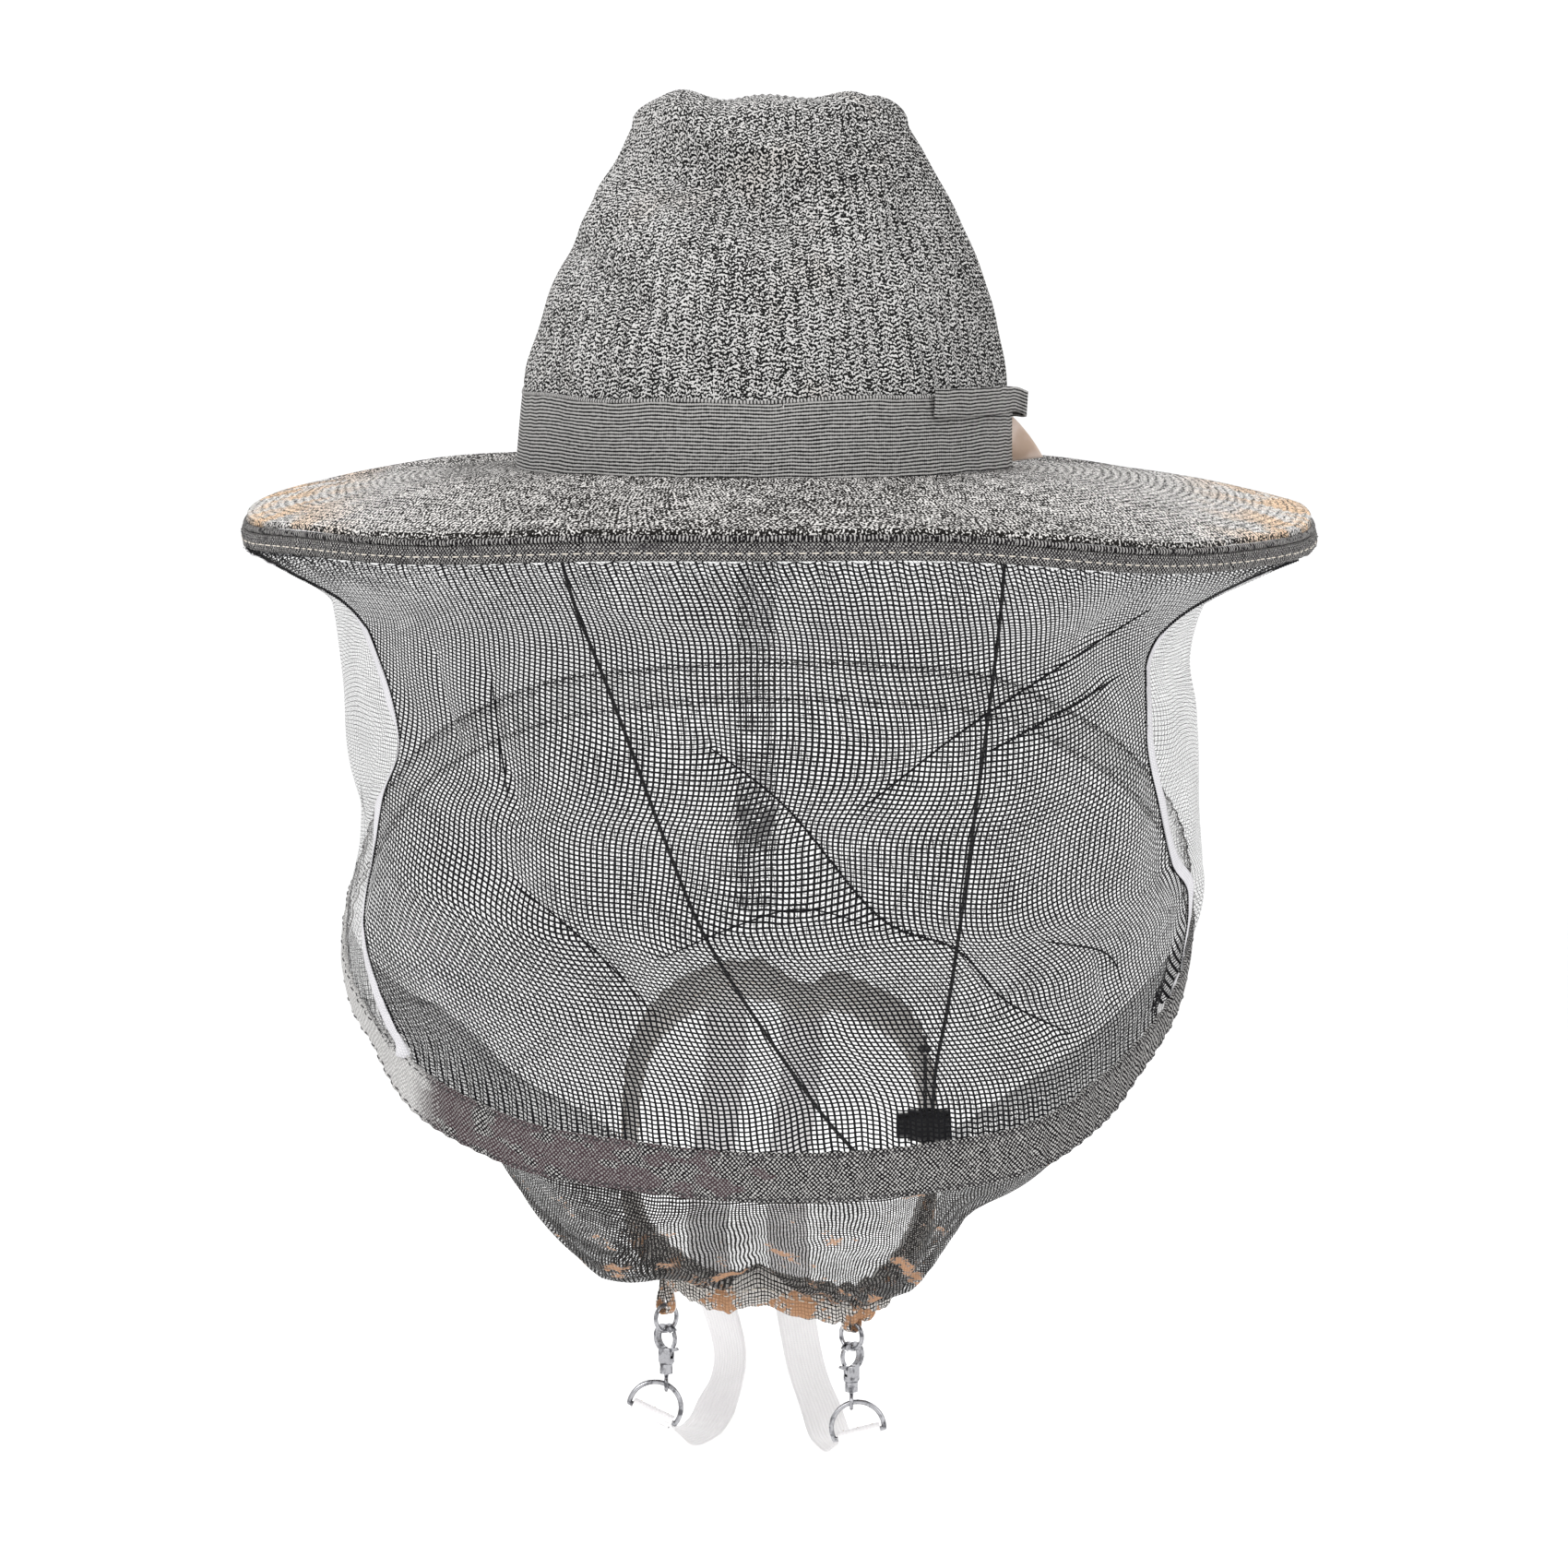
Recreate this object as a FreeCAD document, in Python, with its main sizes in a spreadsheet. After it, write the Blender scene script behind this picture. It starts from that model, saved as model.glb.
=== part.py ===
import FreeCAD, Part
import math
import os
from FreeCAD import Placement, Rotation, Vector

# Beekeeping veil: a knitted straw sun hat with a see-through net tube sewn to its brim, a cloth
# skirt below the net, and two underarm straps that clip to rings on the skirt's hem.
# Millimetres. The origin is the centre of the head opening, +Z is up and -Y is the wearer's front.

DIMENSIONS = {
    # crown: seven levels, from the head opening to the top
    "crown_wall": 1.6,
    "crown_level_a": 0, "crown_half_width_a": 88, "crown_half_depth_a": 100,
    "crown_level_b": 30, "crown_half_width_b": 86, "crown_half_depth_b": 97,
    "crown_level_c": 58, "crown_half_width_c": 79, "crown_half_depth_c": 90,
    "crown_level_d": 84, "crown_half_width_d": 69, "crown_half_depth_d": 80,
    "crown_level_e": 108, "crown_half_width_e": 57.5, "crown_half_depth_e": 70,
    "crown_level_f": 128, "crown_half_width_f": 45, "crown_half_depth_f": 60,
    "crown_level_g": 139, "crown_half_width_g": 34, "crown_half_depth_g": 50,
    "dent_centre": 150, "dent_half_height": 26, "dent_half_width": 24, "dent_half_depth": 56,
    # brim
    "brim_half_width": 189, "brim_half_depth": 189, "brim_thickness": 2.4,
    "brim_edge_level": -13, "brim_side_droop": 7, "brim_back_lift": 8,
    "wire_radius": 1.0,
    # bands at the head opening
    "sweatband_height": 28, "sweatband_thickness": 1.2,
    "hat_band_height": 28, "hat_band_thickness": 1.2,
    "bow_width": 10, "bow_depth": 9, "bow_height": 11, "bow_level": 19, "ribbon_thickness": 1.2,
    "tail_length": 16.5, "tail_top_width": 6, "tail_end_width": 14,
    # veil
    "cloth": 1.0,
    "net_binding_height": 5.5,
    "waist_half_width": 151, "waist_half_depth": 163,
    "seam_half_width": 147, "seam_half_depth": 138, "seam_centre_y": 3,
    "seam_middle_level": -158, "seam_slope": 0.52, "seam_band_height": 17, "seam_band_thickness": 1.4,
    "back_seam_width": 15,
    # skirt and neck opening
    "neck_half_width": 54, "neck_half_depth": 62, "neck_centre_y": 12,
    "neck_middle_level": -235, "neck_slope": 0.76,
    "casing_height": 12, "casing_thickness": 5, "casing_wall": 1.0, "elastic_thickness": 1.6,
    "fit_gap": 0.4,
    # hem rings and the swivel clasps
    "ring_radius": 4.7, "ring_wire": 0.8,
    "tab_radius": 3.0, "tab_hole": 2.15, "tab_width": 4.0,
    "left_tab_x": -40, "left_tab_y": -41, "left_tab_z": -292.5,
    "right_tab_x": 25.5, "right_tab_y": -48.5, "right_tab_z": -297.5,
    "hook_outer": 5.2, "hook_inner": 3.6, "hook_thickness": 2.4,
    "hook_body_width": 5.6, "hook_body_height": 6.0,
    "trigger_thickness": 1.0, "pin_radius": 0.4, "pin_gap": 0.05,
    "trigger_spring_radius": 0.4, "trigger_spring_length": 0.7,
    "collar_radius": 2.3, "collar_height": 3.0, "post_radius": 0.8, "post_head_height": 1.0,
    "eye_radius": 2.4, "eye_wire": 0.7,
    # D-rings and the underarm straps
    "d_bar": 18, "d_height": 11.5, "d_wire": 0.9,
    "strap_width": 15, "strap_thickness": 1.2,
    # chin cord and its spring lock
    "cord_radius": 1.0, "eyelet_radius": 3.0, "eyelet_height": 5.0, "eyelet_x": 79.5, "eyelet_y": -8,
    "knot_radius": 2.2,
    "lock_x": 53, "lock_y": -30, "lock_z": -230, "lock_radius": 5.8, "lock_length": 15,
    "lock_wall": 1.1, "plunger_radius": 4.4, "button_length": 4.0, "lock_spring_length": 3.2,
    "cord_spacing": 2.8,
}

doc = FreeCAD.newDocument("BeekeepingVeil")
sheet = doc.addObject("Spreadsheet::Sheet", "Dims")
for row, (alias, value) in enumerate(DIMENSIONS.items(), start=1):
    sheet.set(f"A{row}", alias)
    sheet.set(f"B{row}", str(value))
    sheet.setAlias(f"B{row}", alias)
doc.recompute()

nodes = []


def dim(alias):
    """A driving dimension, read from the sheet."""
    return float(sheet.get(alias))


def node(obj, label):
    """Gives a finished sub-part its name and puts it on the list of parts."""
    obj.Label = label
    nodes.append(obj)
    return obj


def bind(obj, **expressions):
    for prop, expression in expressions.items():
        obj.setExpression(prop, expression)
    return obj


def primitive(kind, name, placement=None, **expressions):
    obj = bind(doc.addObject(f"Part::{kind}", name), **expressions)
    if placement:
        obj.Placement = placement
    return obj


def boolean(kind, name, base, tool):
    obj = doc.addObject(f"Part::{kind}", name)
    obj.Base, obj.Tool = base, tool
    return obj


def fuse(name, shapes):
    obj = doc.addObject("Part::MultiFuse", name)
    obj.Shapes = shapes
    return obj


def feature(name, shape, placement=None):
    """A sub-part whose shape comes from Part's own functions."""
    obj = doc.addObject("Part::Feature", name)
    obj.Shape = shape
    if placement:
        obj.Placement = placement
    return obj


# ---------------------------------------------------------------- loops and the rings lofted on them

LOOP_POINTS = 24


def loop(name, half_width, half_depth, centre_y, level, power=2.0):
    """A closed smooth curve round the Z axis; level(angle, y) gives the height of each point."""
    points = []
    for step in range(LOOP_POINTS):
        angle = 2 * math.pi * step / LOOP_POINTS
        c, s = math.cos(angle), math.sin(angle)
        x = half_width * math.copysign(abs(c) ** (2 / power), c)
        y = centre_y + half_depth * math.copysign(abs(s) ** (2 / power), s)
        points.append(Vector(x, y, level(angle, y)))
    curve = Part.BSplineCurve()
    curve.interpolate(points, PeriodicFlag=True)
    return feature(name, Part.Wire(curve.toShape()))


def ring(name, loops):
    """A closed ring whose cross-section has one corner on each loop."""
    obj = doc.addObject("Part::Loft", name)
    obj.Sections = loops
    obj.Solid, obj.Ruled, obj.Closed = True, True, True
    return obj


def brim_edge(angle, _y=0):
    """Height of the brim's edge: the sides droop and the back is lifted."""
    droop = dim("brim_side_droop") * math.cos(2 * angle)
    return dim("brim_edge_level") - droop + dim("brim_back_lift") * math.sin(angle)


def seam_level(_angle, y):
    """The seam between net and skirt is a tilted loop, low in front and high behind."""
    return dim("seam_middle_level") + dim("seam_slope") * (y - dim("seam_centre_y"))


def neck_level(_angle, y):
    return dim("neck_middle_level") + dim("neck_slope") * (y - dim("neck_centre_y"))


def shifted(level, offset):
    return lambda angle, y: level(angle, y) + offset


def between(low, high, share):
    return low + (high - low) * share


# ---------------------------------------------------------------- hat

def crown_loft(name, inset, top_drop):
    """The crown's outside, or its inside when inset by the wall."""
    sections = []
    for letter in "abcdefg":
        ellipse = primitive(
            "Ellipse", f"{name}_{letter}",
            MajorRadius=f"Dims.crown_half_depth_{letter} - {inset}",
            MinorRadius=f"Dims.crown_half_width_{letter} - {inset}",
        )
        level = dim(f"crown_level_{letter}") - (top_drop if letter == "g" else 0)
        ellipse.Placement = Placement(Vector(0, 0, level), Rotation(Vector(0, 0, 1), 90))
        sections.append(ellipse)
    loft = doc.addObject("Part::Loft", name)
    loft.Sections = sections
    loft.Solid, loft.Ruled = True, True
    # the soft top is pushed in along the middle
    dent = primitive(
        "Ellipsoid", f"{name}_dent", Placement(Vector(0, 0, dim("dent_centre")), Rotation()),
        Radius1=f"Dims.dent_half_height + {inset}",
        Radius2=f"Dims.dent_half_width + {inset}",
        Radius3=f"Dims.dent_half_depth + {inset}",
    )
    dent.Angle1, dent.Angle2 = -90, 90
    return boolean("Cut", f"{name}_dented", loft, dent)


wall = dim("crown_wall")
node(boolean("Cut", "Crown", crown_loft("CrownOutside", "0", 0),
             crown_loft("CrownInside", "Dims.crown_wall", wall)), "crown")

base_x, base_y = dim("crown_half_width_a"), dim("crown_half_depth_a")
gap = dim("fit_gap")
brim_x, brim_y = dim("brim_half_width"), dim("brim_half_depth")
thick = dim("brim_thickness")


def brim_loops(name, drop):
    """Brim loops from the crown outward: it leaves the crown flat and falls towards the edge."""
    inner_x, inner_y = base_x + gap, base_y + gap
    made = []
    for share, fall in ((0.0, 0.0), (0.35, 0.22), (0.7, 0.62), (1.0, 1.0)):
        made.append(loop(
            f"{name}{int(100 * share)}",
            between(inner_x, brim_x, share), between(inner_y, brim_y, share), 0,
            lambda angle, y, fall=fall: fall * brim_edge(angle) - drop,
        ))
    return made


node(ring("Brim", brim_loops("BrimTop", 0) + brim_loops("BrimUnder", thick)[::-1]), "brim")


def band_ring(name, inset, thickness, height, bottom=0.0):
    """A band that follows the crown's foot, outside it (negative inset) or inside it."""
    taper_x = (dim("crown_half_width_a") - dim("crown_half_width_b")) / dim("crown_level_b")
    taper_y = (dim("crown_half_depth_a") - dim("crown_half_depth_b")) / dim("crown_level_b")
    corners = ((inset, bottom), (inset, bottom + height),
               (inset + thickness, bottom + height), (inset + thickness, bottom))
    loops = [
        loop(f"{name}{corner}", base_x - off - taper_x * z, base_y - off - taper_y * z, 0,
             lambda angle, y, z=z: z)
        for corner, (off, z) in enumerate(corners)
    ]
    return ring(name, loops)


node(band_ring("Sweatband", wall + gap, dim("sweatband_thickness"), dim("sweatband_height")), "sweatband")
band_out = dim("hat_band_thickness") + gap
node(band_ring("HatBand", -band_out, dim("hat_band_thickness"), dim("hat_band_height"), gap), "hat_band")

# The stiffening wire runs in the brim's rim, under its edge.
wire_r = dim("wire_radius")
wire_corners = []
for side in range(6):
    turn = math.pi * side / 3
    reach = wire_r * math.cos(turn) - wire_r - 0.4
    wire_corners.append(loop(
        f"WireLoop{side}", brim_x + reach, brim_y + reach, 0,
        shifted(brim_edge, wire_r * math.sin(turn) - thick - wire_r - 0.3),
    ))
node(ring("BrimWire", wire_corners), "brim_wire")

# The hat band's ends meet on the wearer's left in a folded loop with a flared tail under it.
bow_x = base_x + band_out
ribbon = dim("ribbon_thickness")
bow_centre = Vector(bow_x + dim("bow_width") / 2 - ribbon / 2, 0, dim("bow_level"))


def ellipse_prism(name, half_x, half_y, height, centre):
    """An upright prism over an ellipse whose longer axis lies along X."""
    edge = Part.Ellipse(Vector(0, 0, 0), half_x, half_y).toShape()
    face = Part.Face(Part.Wire(edge))
    return feature(name, face.extrude(Vector(0, 0, height)), Placement(centre, Rotation()))


bow_half_x, bow_half_y = dim("bow_width") / 2, dim("bow_depth") / 2
bow_outside = ellipse_prism("BowOutside", bow_half_x, bow_half_y, dim("bow_height"), bow_centre)
bow_inside = ellipse_prism("BowInside", bow_half_x - ribbon, bow_half_y - ribbon,
                           dim("bow_height"), bow_centre)
node(boolean("Cut", "BandBow", bow_outside, bow_inside), "band_bow")


def outline_prism(points, direction):
    """A flat outline given as (x, y, z) corners, thickened along a direction."""
    corners = [Vector(*p) for p in points]
    return Part.Face(Part.makePolygon(corners + corners[:1])).extrude(Vector(*direction))


tail_top = bow_centre.z - gap
tail_low = tail_top - dim("tail_length")
tail_in = bow_x + gap
tail_shape = outline_prism([
    (tail_in, 0, tail_top),
    (tail_in + dim("tail_top_width"), 0, tail_top),
    (tail_in + dim("tail_end_width"), 0, tail_low),
    (tail_in, 0, tail_low),
], (0, ribbon, 0))
node(feature("BandTail", tail_shape), "band_tail")

# ---------------------------------------------------------------- net and skirt

cloth = dim("cloth")
binding_h = dim("net_binding_height")
binding_x, binding_y = brim_x + 0.6, brim_y + 0.6
binding_corners = ((0, -thick - 2 * wire_r - 1), (0, -thick - binding_h), (-cloth, -thick - binding_h),
                   (-cloth, -thick - 2 * wire_r - 1))
node(ring("NetBinding", [
    loop(f"BindingLoop{i}", binding_x + out, binding_y + out, 0, shifted(brim_edge, drop))
    for i, (out, drop) in enumerate(binding_corners)
]), "net_binding")

net_top = -thick - binding_h - gap
SEAM_POWER = 2.6
NECK_POWER = 3.0
seam_x, seam_y, seam_cy = dim("seam_half_width"), dim("seam_half_depth"), dim("seam_centre_y")
neck_x, neck_y, neck_cy = dim("neck_half_width"), dim("neck_half_depth"), dim("neck_centre_y")


# Stations down the net, which is drawn in under the brim and then hangs to the seam:
# share of the way down, half width, half depth and how square the loop is.
NET_STATIONS = (
    (0.0, binding_x - 0.2, binding_y - 0.2, 2.0),
    (0.14, dim("waist_half_width") + 5, dim("waist_half_depth") + 9, 2.1),
    (0.32, dim("waist_half_width"), dim("waist_half_depth"), 2.3),
    (0.65, seam_x + 1, between(seam_y, dim("waist_half_depth"), 0.4), 2.4),
    (1.0, seam_x, seam_y, SEAM_POWER),
)


def net_level(angle, y, share, half_y):
    """Height of the net at one station, between the brim's edge and the tilted seam."""
    top = brim_edge(angle) + net_top
    seam_at = seam_cy + (y - seam_cy * share) * seam_y / half_y
    bottom = seam_level(angle, seam_at) + dim("seam_band_height") / 2 + gap
    return between(top, bottom, share)


def net_loops(name, inset):
    return [
        loop(f"{name}{int(100 * share)}", half_x - inset, half_y - inset, seam_cy * share,
             lambda angle, y, share=share, half_y=half_y: net_level(angle, y, share, half_y), power)
        for share, half_x, half_y, power in NET_STATIONS
    ]


SKIRT_TUCK = 4      # how far below the casing's top the skirt meets it
SKIRT_BELLY = 0.3   # 0 for a straight cone from seam to casing, 1 for a quarter ellipse
SKIRT_STEPS = 4
skirt_clear = dim("casing_thickness") / 2 + cloth + 2 * gap


def skirt_station(step):
    """How full the skirt still is and how far it has dropped, from 0 to 1, at one of its loops."""
    share = step / SKIRT_STEPS
    full = between(1 - share, math.cos(share * math.pi / 2), SKIRT_BELLY)
    drop = between(share, math.sin(share * math.pi / 2), SKIRT_BELLY)
    return full, drop


def skirt_level(y, full, drop):
    half_y = between(dim("neck_half_depth") + skirt_clear, seam_y, full)
    middle = between(dim("neck_centre_y"), seam_cy, full)
    part = (y - middle) / half_y
    top = seam_level(0, seam_cy + part * seam_y) - dim("seam_band_height") / 2 - gap
    low = neck_level(0, dim("neck_centre_y") + part * dim("neck_half_depth")) - SKIRT_TUCK
    return between(top, low, drop)


def skirt_loops(name, inset):
    """Loops down the skirt: it hangs full below the seam and turns in to meet the casing's side."""
    made = []
    for step in range(SKIRT_STEPS + 1):
        full, drop = skirt_station(step)
        made.append(loop(
            f"{name}{step}",
            between(dim("neck_half_width") + skirt_clear, seam_x, full) - inset,
            between(dim("neck_half_depth") + skirt_clear, seam_y, full) - inset,
            between(dim("neck_centre_y"), seam_cy, full),
            lambda angle, y, full=full, drop=drop: skirt_level(y, full, drop),
            between(NECK_POWER, SEAM_POWER, full),
        ))
    return made


def halves(name, shell):
    """Splits a shell at the side seams into its front and back panels."""
    reach = 2 * brim_x
    split = seam_cy
    for side, low in (("front", split - gap / 2 - reach), ("back", split + gap / 2)):
        half_space = doc.addObject("Part::Box", f"{name}_{side}_side")
        half_space.Length, half_space.Width, half_space.Height = 2 * reach, reach, 2 * reach
        half_space.Placement = Placement(Vector(-reach, low, -2 * reach), Rotation())
        node(boolean("Common", f"{name}_{side}_panel", shell, half_space), f"{name}_{side}")


halves("net", ring("NetShell", net_loops("NetOut", 0) + net_loops("NetIn", cloth)[::-1]))
halves("skirt", ring("SkirtShell", skirt_loops("SkirtOut", 0) + skirt_loops("SkirtIn", cloth)[::-1]))

band_t = dim("seam_band_thickness")
half_band = dim("seam_band_height") / 2
band_corners = ((0.4, half_band), (0.4, -half_band), (0.4 - band_t, -half_band), (0.4 - band_t, half_band))
node(ring("SeamBand", [
    loop(f"SeamLoop{i}", seam_x + out, seam_y + out, seam_cy, shifted(seam_level, rise), SEAM_POWER)
    for i, (out, rise) in enumerate(band_corners)
]), "seam_band")

# A tape covers the centre-back seam on the inside, down the net, over the band and down the skirt.
tape_half = dim("back_seam_width") / 2
tape_rest = cloth + gap
tape_line = []
for share, _, half_y, _ in NET_STATIONS:
    back_y = seam_cy * share + half_y
    tape_line.append((back_y - tape_rest, net_level(math.pi / 2, back_y, share, half_y)))
for step in range(SKIRT_STEPS):
    full, drop = skirt_station(step)
    back_y = between(neck_cy, seam_cy, full) + between(neck_y + skirt_clear, seam_y, full)
    tape_line.append((back_y - tape_rest - 2 * cloth * drop, skirt_level(back_y, full, drop)))
tape_profile = tape_line + [(y - cloth, z) for y, z in reversed(tape_line)]
node(feature("BackSeamTape", outline_prism(
    [(-tape_half, y, z) for y, z in tape_profile], (2 * tape_half, 0, 0))), "back_seam_tape")


def neck_ring(name, thickness, top, bottom):
    """A ring of rectangular section round the neck opening, centred on the casing's wall."""
    half = thickness / 2
    corners = ((half, top), (half, bottom), (-half, bottom), (-half, top))
    return ring(name, [
        loop(f"{name}{i}", neck_x + out, neck_y + out, neck_cy, shifted(neck_level, rise), NECK_POWER)
        for i, (out, rise) in enumerate(corners)
    ])


casing_wall, casing_h, casing_t = dim("casing_wall"), dim("casing_height"), dim("casing_thickness")
channel = neck_ring("CasingChannel", casing_t - 2 * casing_wall, -casing_wall, casing_wall - casing_h)
node(boolean("Cut", "HemCasing", neck_ring("CasingOutside", casing_t, 0, -casing_h), channel), "hem_casing")
node(neck_ring("HemElastic", dim("elastic_thickness"), -2 * casing_wall, 2 * casing_wall - casing_h),
     "hem_elastic")

# ---------------------------------------------------------------- hem rings, clasps and D-rings

RING_TURN = 40      # the hem ring faces half towards the front
HOOK_TURN = -45     # the hook stands across the ring
ring_r, ring_w = dim("ring_radius"), dim("ring_wire")
hook_out, hook_in, hook_t = dim("hook_outer"), dim("hook_inner"), dim("hook_thickness")
hook_mid = (hook_out + hook_in) / 2
HOOK_TIP = 35       # angle, above level, where the fixed hook ends
NOSE_SLOT = (HOOK_TIP - 5, HOOK_TIP + 27)       # angles between which the hook's nose is slotted
HANG_GAP = 0.35
hook_drop = 2 * ring_r - ring_w - HANG_GAP + hook_in      # tab axis down to the hook's centre
body_w, body_h = dim("hook_body_width"), dim("hook_body_height")
body_top = -hook_in - 0.2
body_low = body_top - body_h
pin_at = Vector(body_w / 2 - 1.3, 0, body_top - 1.5)
collar_low = body_low - dim("collar_height")
eye_level = collar_low - 0.5 - dim("eye_radius") - dim("eye_wire")


def xz_sketch(body, name, offset=0.0):
    """An empty sketch on the body's own XZ plane; its x and y run along +X and +Z."""
    plane = next(f for f in body.Origin.OriginFeatures if f.Role == "XZ_Plane")
    sketch = body.newObject("Sketcher::SketchObject", name)
    sketch.AttachmentSupport = [(plane, "")]
    sketch.MapMode = "FlatFace"
    sketch.AttachmentOffset = Placement(Vector(0, 0, offset), Rotation())
    return sketch


def polar(radius, degrees):
    return Vector(radius * math.cos(math.radians(degrees)), radius * math.sin(math.radians(degrees)), 0)


def sector(sketch, outer, inner, start, end):
    """A closed ring sector, drawn with two arcs and two straight ends."""
    axis = Vector(0, 0, 1)
    for radius in (outer, inner):
        circle = Part.Circle(Vector(0, 0, 0), axis, radius)
        sketch.addGeometry(Part.ArcOfCircle(circle, math.radians(start), math.radians(end)), False)
    for angle in (start, end):
        sketch.addGeometry(Part.LineSegment(polar(inner, angle), polar(outer, angle)), False)


def outline(sketch, points):
    corners = [Vector(x, z, 0) for x, z in points]
    for first, second in zip(corners, corners[1:] + corners[:1]):
        sketch.addGeometry(Part.LineSegment(first, second), False)


def pad(body, name, sketch, length):
    """A pad centred on the sketch plane, its length bound to the sheet."""
    obj = body.newObject("PartDesign::Pad", name)
    obj.Profile = sketch
    obj.Midplane = True
    obj.setExpression("Length", length)
    return obj


def pocket(body, name, sketch, length):
    obj = body.newObject("PartDesign::Pocket", name)
    obj.Profile = sketch
    obj.Midplane = True
    obj.setExpression("Length", length)
    return obj


def chain_placement(x, y, z, turn):
    return Placement(Vector(x, y, z), Rotation(Vector(0, 0, 1), turn))


def clasp_body(side, place, mirror):
    """The cast hook with its forked body and the collar that holds the swivel post."""
    body = doc.addObject("PartDesign::Body", f"ClaspBody_{side}")
    hook = xz_sketch(body, f"HookSketch_{side}")
    start, end = (HOOK_TIP, 262) if mirror > 0 else (-82, 180 - HOOK_TIP)
    sector(hook, hook_out, hook_in, start, end)
    pad(body, f"HookPad_{side}", hook, "Dims.hook_thickness")
    block = xz_sketch(body, f"BlockSketch_{side}")
    half = body_w / 2
    outline(block, [(-half, body_top), (half, body_top), (half, body_low + 1.2), (half - 1.0, body_low),
                    (1.0 - half, body_low), (-half, body_low + 1.2)])
    pad(body, f"BlockPad_{side}", block, "Dims.hook_thickness")
    # the fork for the trigger
    fork = xz_sketch(body, f"ForkSketch_{side}")
    reach = mirror * (half + 0.1)
    inner = -mirror * 0.6
    outline(fork, [(inner, body_top + 0.2), (reach, body_top + 0.2),
                   (reach, body_top - 3.4), (inner, body_top - 3.4)])
    pocket(body, f"ForkPocket_{side}", fork, "Dims.trigger_thickness + 0.3")
    # the slot in the hook's nose that the trigger's tip swings through
    nose = xz_sketch(body, f"NoseSketch_{side}")
    near, far = hook_in - 0.4, hook_out + 0.6
    nose_corners = [polar(near, NOSE_SLOT[0]), polar(far, NOSE_SLOT[0]),
                    polar(far, NOSE_SLOT[1]), polar(near, NOSE_SLOT[1])]
    outline(nose, [(mirror * corner.x, corner.y) for corner in nose_corners])
    pocket(body, f"NosePocket_{side}", nose, "Dims.trigger_thickness + 0.3")
    hole = xz_sketch(body, f"PinHoleSketch_{side}")
    centre = Vector(mirror * pin_at.x, pin_at.z, 0)
    hole.addGeometry(Part.Circle(centre, Vector(0, 0, 1), dim("pin_radius") + dim("pin_gap")), False)
    pocket(body, f"PinHole_{side}", hole, "Dims.hook_thickness + 1")
    # the collar is turned about the clasp's own axis, with a bore and a wider seat for the post
    collar = xz_sketch(body, f"CollarSketch_{side}")
    outline(collar, [(0, body_low + 0.8), (dim("collar_radius"), body_low + 0.4),
                     (dim("collar_radius"), collar_low), (0, collar_low)])
    turned = body.newObject("PartDesign::Revolution", f"Collar_{side}")
    turned.Profile = collar
    turned.ReferenceAxis = (collar, ["V_Axis"])
    turned.Angle = 360
    bore = xz_sketch(body, f"BoreSketch_{side}")
    post = dim("post_radius") + 0.1
    seat = post + 0.6
    outline(bore, [(0, body_low - 0.4), (seat, body_low - 0.4), (seat, body_low - 1.7),
                   (post, body_low - 1.7), (post, collar_low - 0.2), (0, collar_low - 0.2)])
    groove = body.newObject("PartDesign::Groove", f"Bore_{side}")
    groove.Profile = bore
    groove.ReferenceAxis = (bore, ["V_Axis"])
    groove.Angle = 360
    body.Tip = groove
    body.Placement = place
    return node(body, f"clasp_body_{side}")


def clasp_trigger(side, place, mirror):
    """The gate that closes the hook, with its root in the fork and a thumb tab outside."""
    body = doc.addObject("PartDesign::Body", f"ClaspTrigger_{side}")
    gate = xz_sketch(body, f"GateSketch_{side}")
    top = HOOK_TIP - 3
    low = -44
    start, end = (low, top) if mirror > 0 else (180 - top, 180 - low)
    sector(gate, hook_out - 0.1, hook_in + 0.3, start, end)
    pad(body, f"GatePad_{side}", gate, "Dims.trigger_thickness")
    root = xz_sketch(body, f"RootSketch_{side}")
    half = body_w / 2
    outline(root, [(mirror * x, z) for x, z in (
        (hook_mid * 0.62, -hook_mid * 0.72), (hook_out * 0.74, -hook_out * 0.62),
        (half + 2.6, body_top + 0.9), (half + 3.3, body_top + 0.2), (half + 2.7, body_top - 0.3),
        (half, body_top - 1.2), (half - 0.2, body_top - 2.6), (half - 2.2, body_top - 2.6),
        (half - 2.4, body_top - 0.6))])
    pad(body, f"RootPad_{side}", root, "Dims.trigger_thickness")
    hole = xz_sketch(body, f"TriggerHoleSketch_{side}")
    centre = Vector(mirror * pin_at.x, pin_at.z, 0)
    hole.addGeometry(Part.Circle(centre, Vector(0, 0, 1), dim("pin_radius") + dim("pin_gap")), False)
    drilled = pocket(body, f"TriggerHole_{side}", hole, "Dims.hook_thickness + 1")
    body.Tip = drilled
    body.Placement = place
    return node(body, f"clasp_trigger_{side}")


def trigger_pin(side, place, mirror):
    local = Placement(Vector(mirror * pin_at.x, hook_t / 2, pin_at.z), Rotation(Vector(1, 0, 0), 90))
    pin = primitive("Cylinder", f"TriggerPin_{side}", place * local,
                    Radius="Dims.pin_radius", Height="Dims.hook_thickness")
    return node(pin, f"trigger_pin_{side}")


def trigger_spring(side, place):
    """The coil that pushes the gate shut, taken as a short plug in the fork."""
    half = dim("trigger_spring_length") / 2
    local = Placement(Vector(0, half, body_top - 2.1), Rotation(Vector(1, 0, 0), 90))
    coil = primitive("Cylinder", f"TriggerSpring_{side}", place * local,
                     Radius="Dims.trigger_spring_radius", Height="Dims.trigger_spring_length")
    return node(coil, f"trigger_spring_{side}")


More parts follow.
